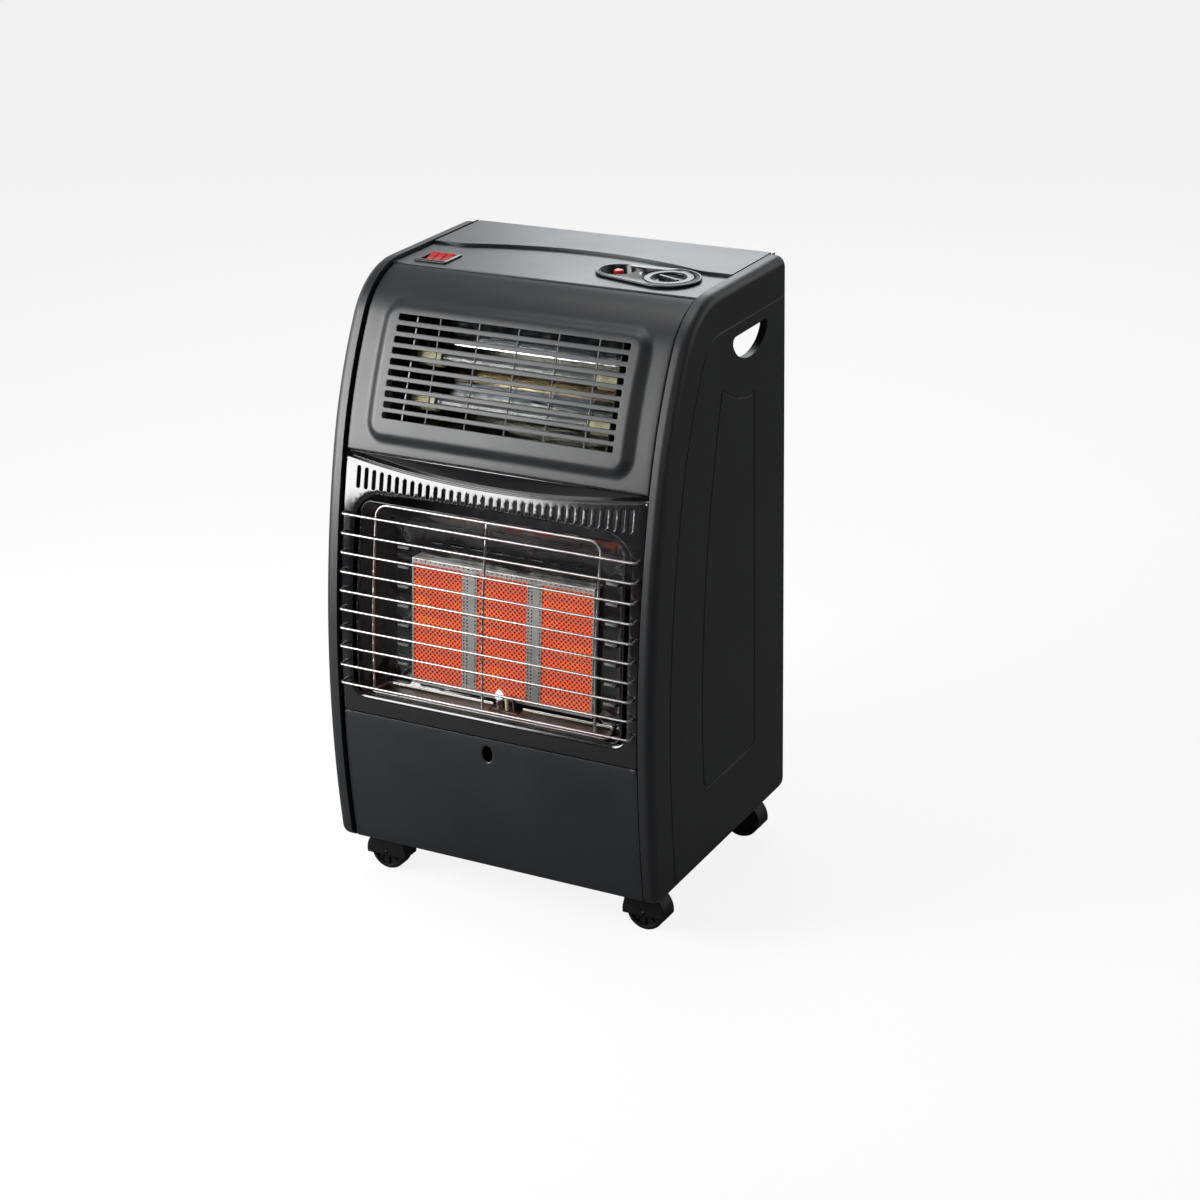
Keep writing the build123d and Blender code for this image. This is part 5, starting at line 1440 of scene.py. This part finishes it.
class HEATER_OT_gas_parts(bpy.types.Operator):
    """Valve, pipe, hose spigot and the parts on the base tray"""

    bl_idname = "heater.gas_parts"
    bl_label = "Gas and mains parts"

    def execute(self, context):
        smooth_nodes("brass", "valve_body", "valve_rotor", "hose_nozzle")
        smooth_nodes("pipe", "gas_pipe", angle=50)
        smooth_nodes("steel", "gas_spindle")
        smooth_nodes("castor", "terminal_box", "mains_gland", "tilt_switch")
        return {"FINISHED"}


class HEATER_OT_castors(bpy.types.Operator):
    """Hooded castor forks, axles and ribbed wheels"""

    bl_idname = "heater.castors"
    bl_label = "Castors"

    def execute(self, context):
        ring = ring_tree()
        # A rib's corners from the wheel's middle, in millimetres: out, across, below the face.
        rib_corners = (
            (6, -0.9, 3.5), (17.6, -0.9, 3.5), (17.6, 0.9, 3.5), (6, 0.9, 3.5),
            (6, -0.6, 1), (17.6, -0.6, 1.5), (17.6, 0.6, 1.5), (6, 0.6, 1),
        )
        rib_sides = ((4, 5, 6, 7), (0, 1, 5, 4), (1, 2, 6, 5), (2, 3, 7, 6), (3, 0, 4, 7))
        for place in CASTORS:
            smooth_nodes("castor", f"castor_fork_{place}", angle=38)
            smooth_nodes("castor", f"castor_axle_{place}", angle=50)
            low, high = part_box(f"castor_wheel_{place}")
            middle = (Vector(low) + Vector(high)) / 2
            radius, half = (high[2] - low[2]) / 2, (high[1] - low[1]) / 2
            profile = [
                (base + out * MM, -half + up * MM)
                for base, out, up in (
                    (0, 3.1, 0), (0, 6.5, 0), (0, 7, 0.5), (0, 7, 3.5), (radius, -6, 3.5),
                    (radius, -5.5, 0.5), (radius, -5, 0), (radius, -3, 0), (radius, -0.9, 0.9),
                    (radius, 0, 3),
                )
            ]
            profile += [(r, -h) for r, h in reversed(profile)]
            profile.append(profile[0])
            rim = turned("rim", profile, (0, 0, 0), 72)
            spoke = [
                (u * MM, v * MM, side * (half - h * MM))
                for side in (-1, 1) for u, v, h in rib_corners
            ]
            faces = [
                tuple(base + k for k in quad[::order])
                for base, order in ((0, -1), (8, 1)) for quad in rib_sides
            ]
            rib = new_piece("rib", spoke, faces)
            ribs = ring.run("ribs", "castor", Matrix(), Copy=rib, Count=sizes().wheel_ribs)
            bpy.data.objects.remove(rib)
            wheel = joined(f"castor_wheel_{place}_ribbed", [rim, ribs])
            wheel.data.transform(Matrix.Translation(middle) @ Matrix.Rotation(pi / 2, 4, "X"))
            with edited(wheel) as shell:
                bmesh.ops.recalc_face_normals(shell, faces=shell.faces)
            stand_for(soften(wheel, 40), "castor", f"castor_wheel_{place}")
        return {"FINISHED"}


# ------------------------------------------------------------------------ studio
def soft_light(name, place, target, size, level, colour=(1, 1, 1), glossy=True, roll=0):
    """A rectangular soft light whose face has the given radiance."""
    lamp = bpy.data.lights.new(name, "AREA")
    lamp.shape, lamp.color = "RECTANGLE", colour
    lamp.size, lamp.size_y = size
    lamp.energy = level * pi * size[0] * size[1]
    holder = add_object(name, lamp)
    holder.location = place
    aim = (Vector(target) - Vector(place)).to_track_quat("-Z", "Y").to_matrix()
    holder.rotation_euler = (aim @ Matrix.Rotation(radians(roll), 3, "Z")).to_euler()
    holder.visible_camera, holder.visible_glossy = False, glossy


def floor_finish():
    """A pale floor that keeps the heater's shadow."""
    work = new_finish(
        "studio floor", Roughness=0.95, Specular_IOR_Level=0.0,
        Emission_Color=(0.86, 0.86, 0.86),
    )
    tone = bpy.context.scene.heater_studio.floor
    rays = work.add("ShaderNodeLightPath").outputs
    seen = work.math("ADD", rays["Is Camera Ray"], rays["Is Transmission Ray"])
    mirrored = work.math("MULTIPLY", rays["Is Glossy Ray"], 0.02)
    work.surface(
        Base_Color=work.shade(work.noise(1.5, 3), 0.3, 0.7, dim(tone, 0.97), tone),
        Emission_Strength=work.math("ADD", seen, mirrored),
    )
    return work.owner


def studio_room():
    """The room: a white backdrop behind the heater, dimmer overhead and in front."""
    work = Work(
        bpy.data.worlds.new("studio room"), "Background",
        Strength=bpy.context.scene.heater_studio.room,
    )
    work.spot = work.spot.node.outputs["Generated"]
    depth = work.span(work.along((0, 1, 0)), -0.3, 0.5)
    height = work.span(work.along((0, 0, 1)), 0.75, 0.25)
    share = work.span(work.math("MULTIPLY", depth, height), 0.0, 1.0, 0.04, 0.8)
    rays = work.add("ShaderNodeLightPath").outputs
    level = work.math("MAXIMUM", share, rays["Is Camera Ray"])
    work.surface(Color=work.mix(level, (0, 0, 0), (1, 1, 1)))
    return work.owner


class HEATER_OT_studio(bpy.types.Operator):
    """Floor, soft lights and camera"""

    bl_idname = "heater.studio"
    bl_label = "Studio"

    def execute(self, context):
        scene, s = context.scene, context.scene.heater_studio
        scene.view_settings.view_transform = "Standard"
        ground = turned("studio_floor", [(0.0, 0.0), (3.0, 0.0), (40.0, 0.0)], (0, 0, -0.5 * MM), 64)
        with edited(ground) as shell:
            for face in shell.faces:
                if face.normal.z < 0:
                    face.normal_flip()
        ground.data.materials.append(floor_finish())
        scene.world = studio_room()
        soft_light(
            "front left softbox", (-1.15, -1.12, 1.06), (-0.565, -0.31, 1.06), (1.0, 1.3), 10.6,
            roll=13,
        )
        soft_light("left softbox", (-0.95, 0.1, 0.6), (-0.2, 0.0, 0.58), (1.1, 0.6), 0.7)
        soft_light(
            "back softbox", (-0.78, 2.5, 1.95), (0.0, 0.0, 0.72), (1.3, 0.95), 4.3,
            (0.93, 0.97, 1.0),
        )
        soft_light("top softbox", (-0.15, 0.2, 2.3), (-0.05, 0.0, 0.7), (1.1, 1.1), 2.4)
        soft_light("right softbox", (1.7, -2.1, 1.5), (0.1, -0.1, 0.5), (0.8, 0.9), 1.6)
        soft_light("right fill", (2.6, 0.0, 1.4), (0.0, 0.0, 0.4), (1.6, 1.6), 1.5, glossy=False)
        turn_a, turn_e, roll = s.azimuth, s.elevation, s.roll
        out = Vector((sin(turn_a) * cos(turn_e), -cos(turn_a) * cos(turn_e), sin(turn_e)))
        right = Vector((cos(turn_a), sin(turn_a), 0))
        up = out.cross(right)
        right, up = right * cos(roll) + up * sin(roll), up * cos(roll) - right * sin(roll)
        middle = Vector((0, 0, 0.36))
        place = middle + right * s.slide_right + up * s.slide_up + out * s.distance
        lens = bpy.data.cameras.new("studio camera")
        lens.lens, lens.sensor_width, lens.sensor_fit = s.lens, 36, "HORIZONTAL"
        scene.camera = add_object("studio camera", lens)
        axes = Matrix((right, up, out)).transposed().to_4x4()
        scene.camera.matrix_world = Matrix.Translation(place) @ axes
        return {"FINISHED"}


STEPS = (
    HEATER_OT_upper_panel, HEATER_OT_middle_panel, HEATER_OT_lower_panel, HEATER_OT_cabinet,
    HEATER_OT_rear_screws, HEATER_OT_plaques, HEATER_OT_burner_frame, HEATER_OT_burner_housing,
    HEATER_OT_drip_tray, HEATER_OT_guard, HEATER_OT_electric_heater, HEATER_OT_controls,
    HEATER_OT_gas_parts, HEATER_OT_castors, HEATER_OT_studio,
)
GROUPS = {"heater_sizes": HeaterSizes, "heater_colours": HeaterColours, "heater_studio": HeaterStudio}


class HEATER_PT_panel(bpy.types.Panel):
    """Lists the heater's steps and values"""

    bl_label = "Heater"
    bl_idname = "HEATER_PT_panel"
    bl_space_type = "VIEW_3D"
    bl_region_type = "UI"
    bl_category = "Heater"

    def draw(self, context):
        for step in STEPS:
            self.layout.operator(step.bl_idname)
        for name in GROUPS:
            group, box = getattr(context.scene, name), self.layout.box()
            for value in group.bl_rna.properties.keys():
                if value not in ("rna_type", "name"):
                    box.prop(group, value)


CLASSES = (*GROUPS.values(), *STEPS, HEATER_PT_panel)


def register():
    for made in CLASSES:
        bpy.utils.register_class(made)
    for name, group in GROUPS.items():
        setattr(bpy.types.Scene, name, PointerProperty(type=group))


def unregister():
    for name in GROUPS:
        delattr(bpy.types.Scene, name)
    for made in reversed(CLASSES):
        bpy.utils.unregister_class(made)


def main():
    register()
    for step in STEPS:
        getattr(bpy.ops.heater, step.bl_idname.split(".")[1])()


if __name__ == "__main__":
    main()
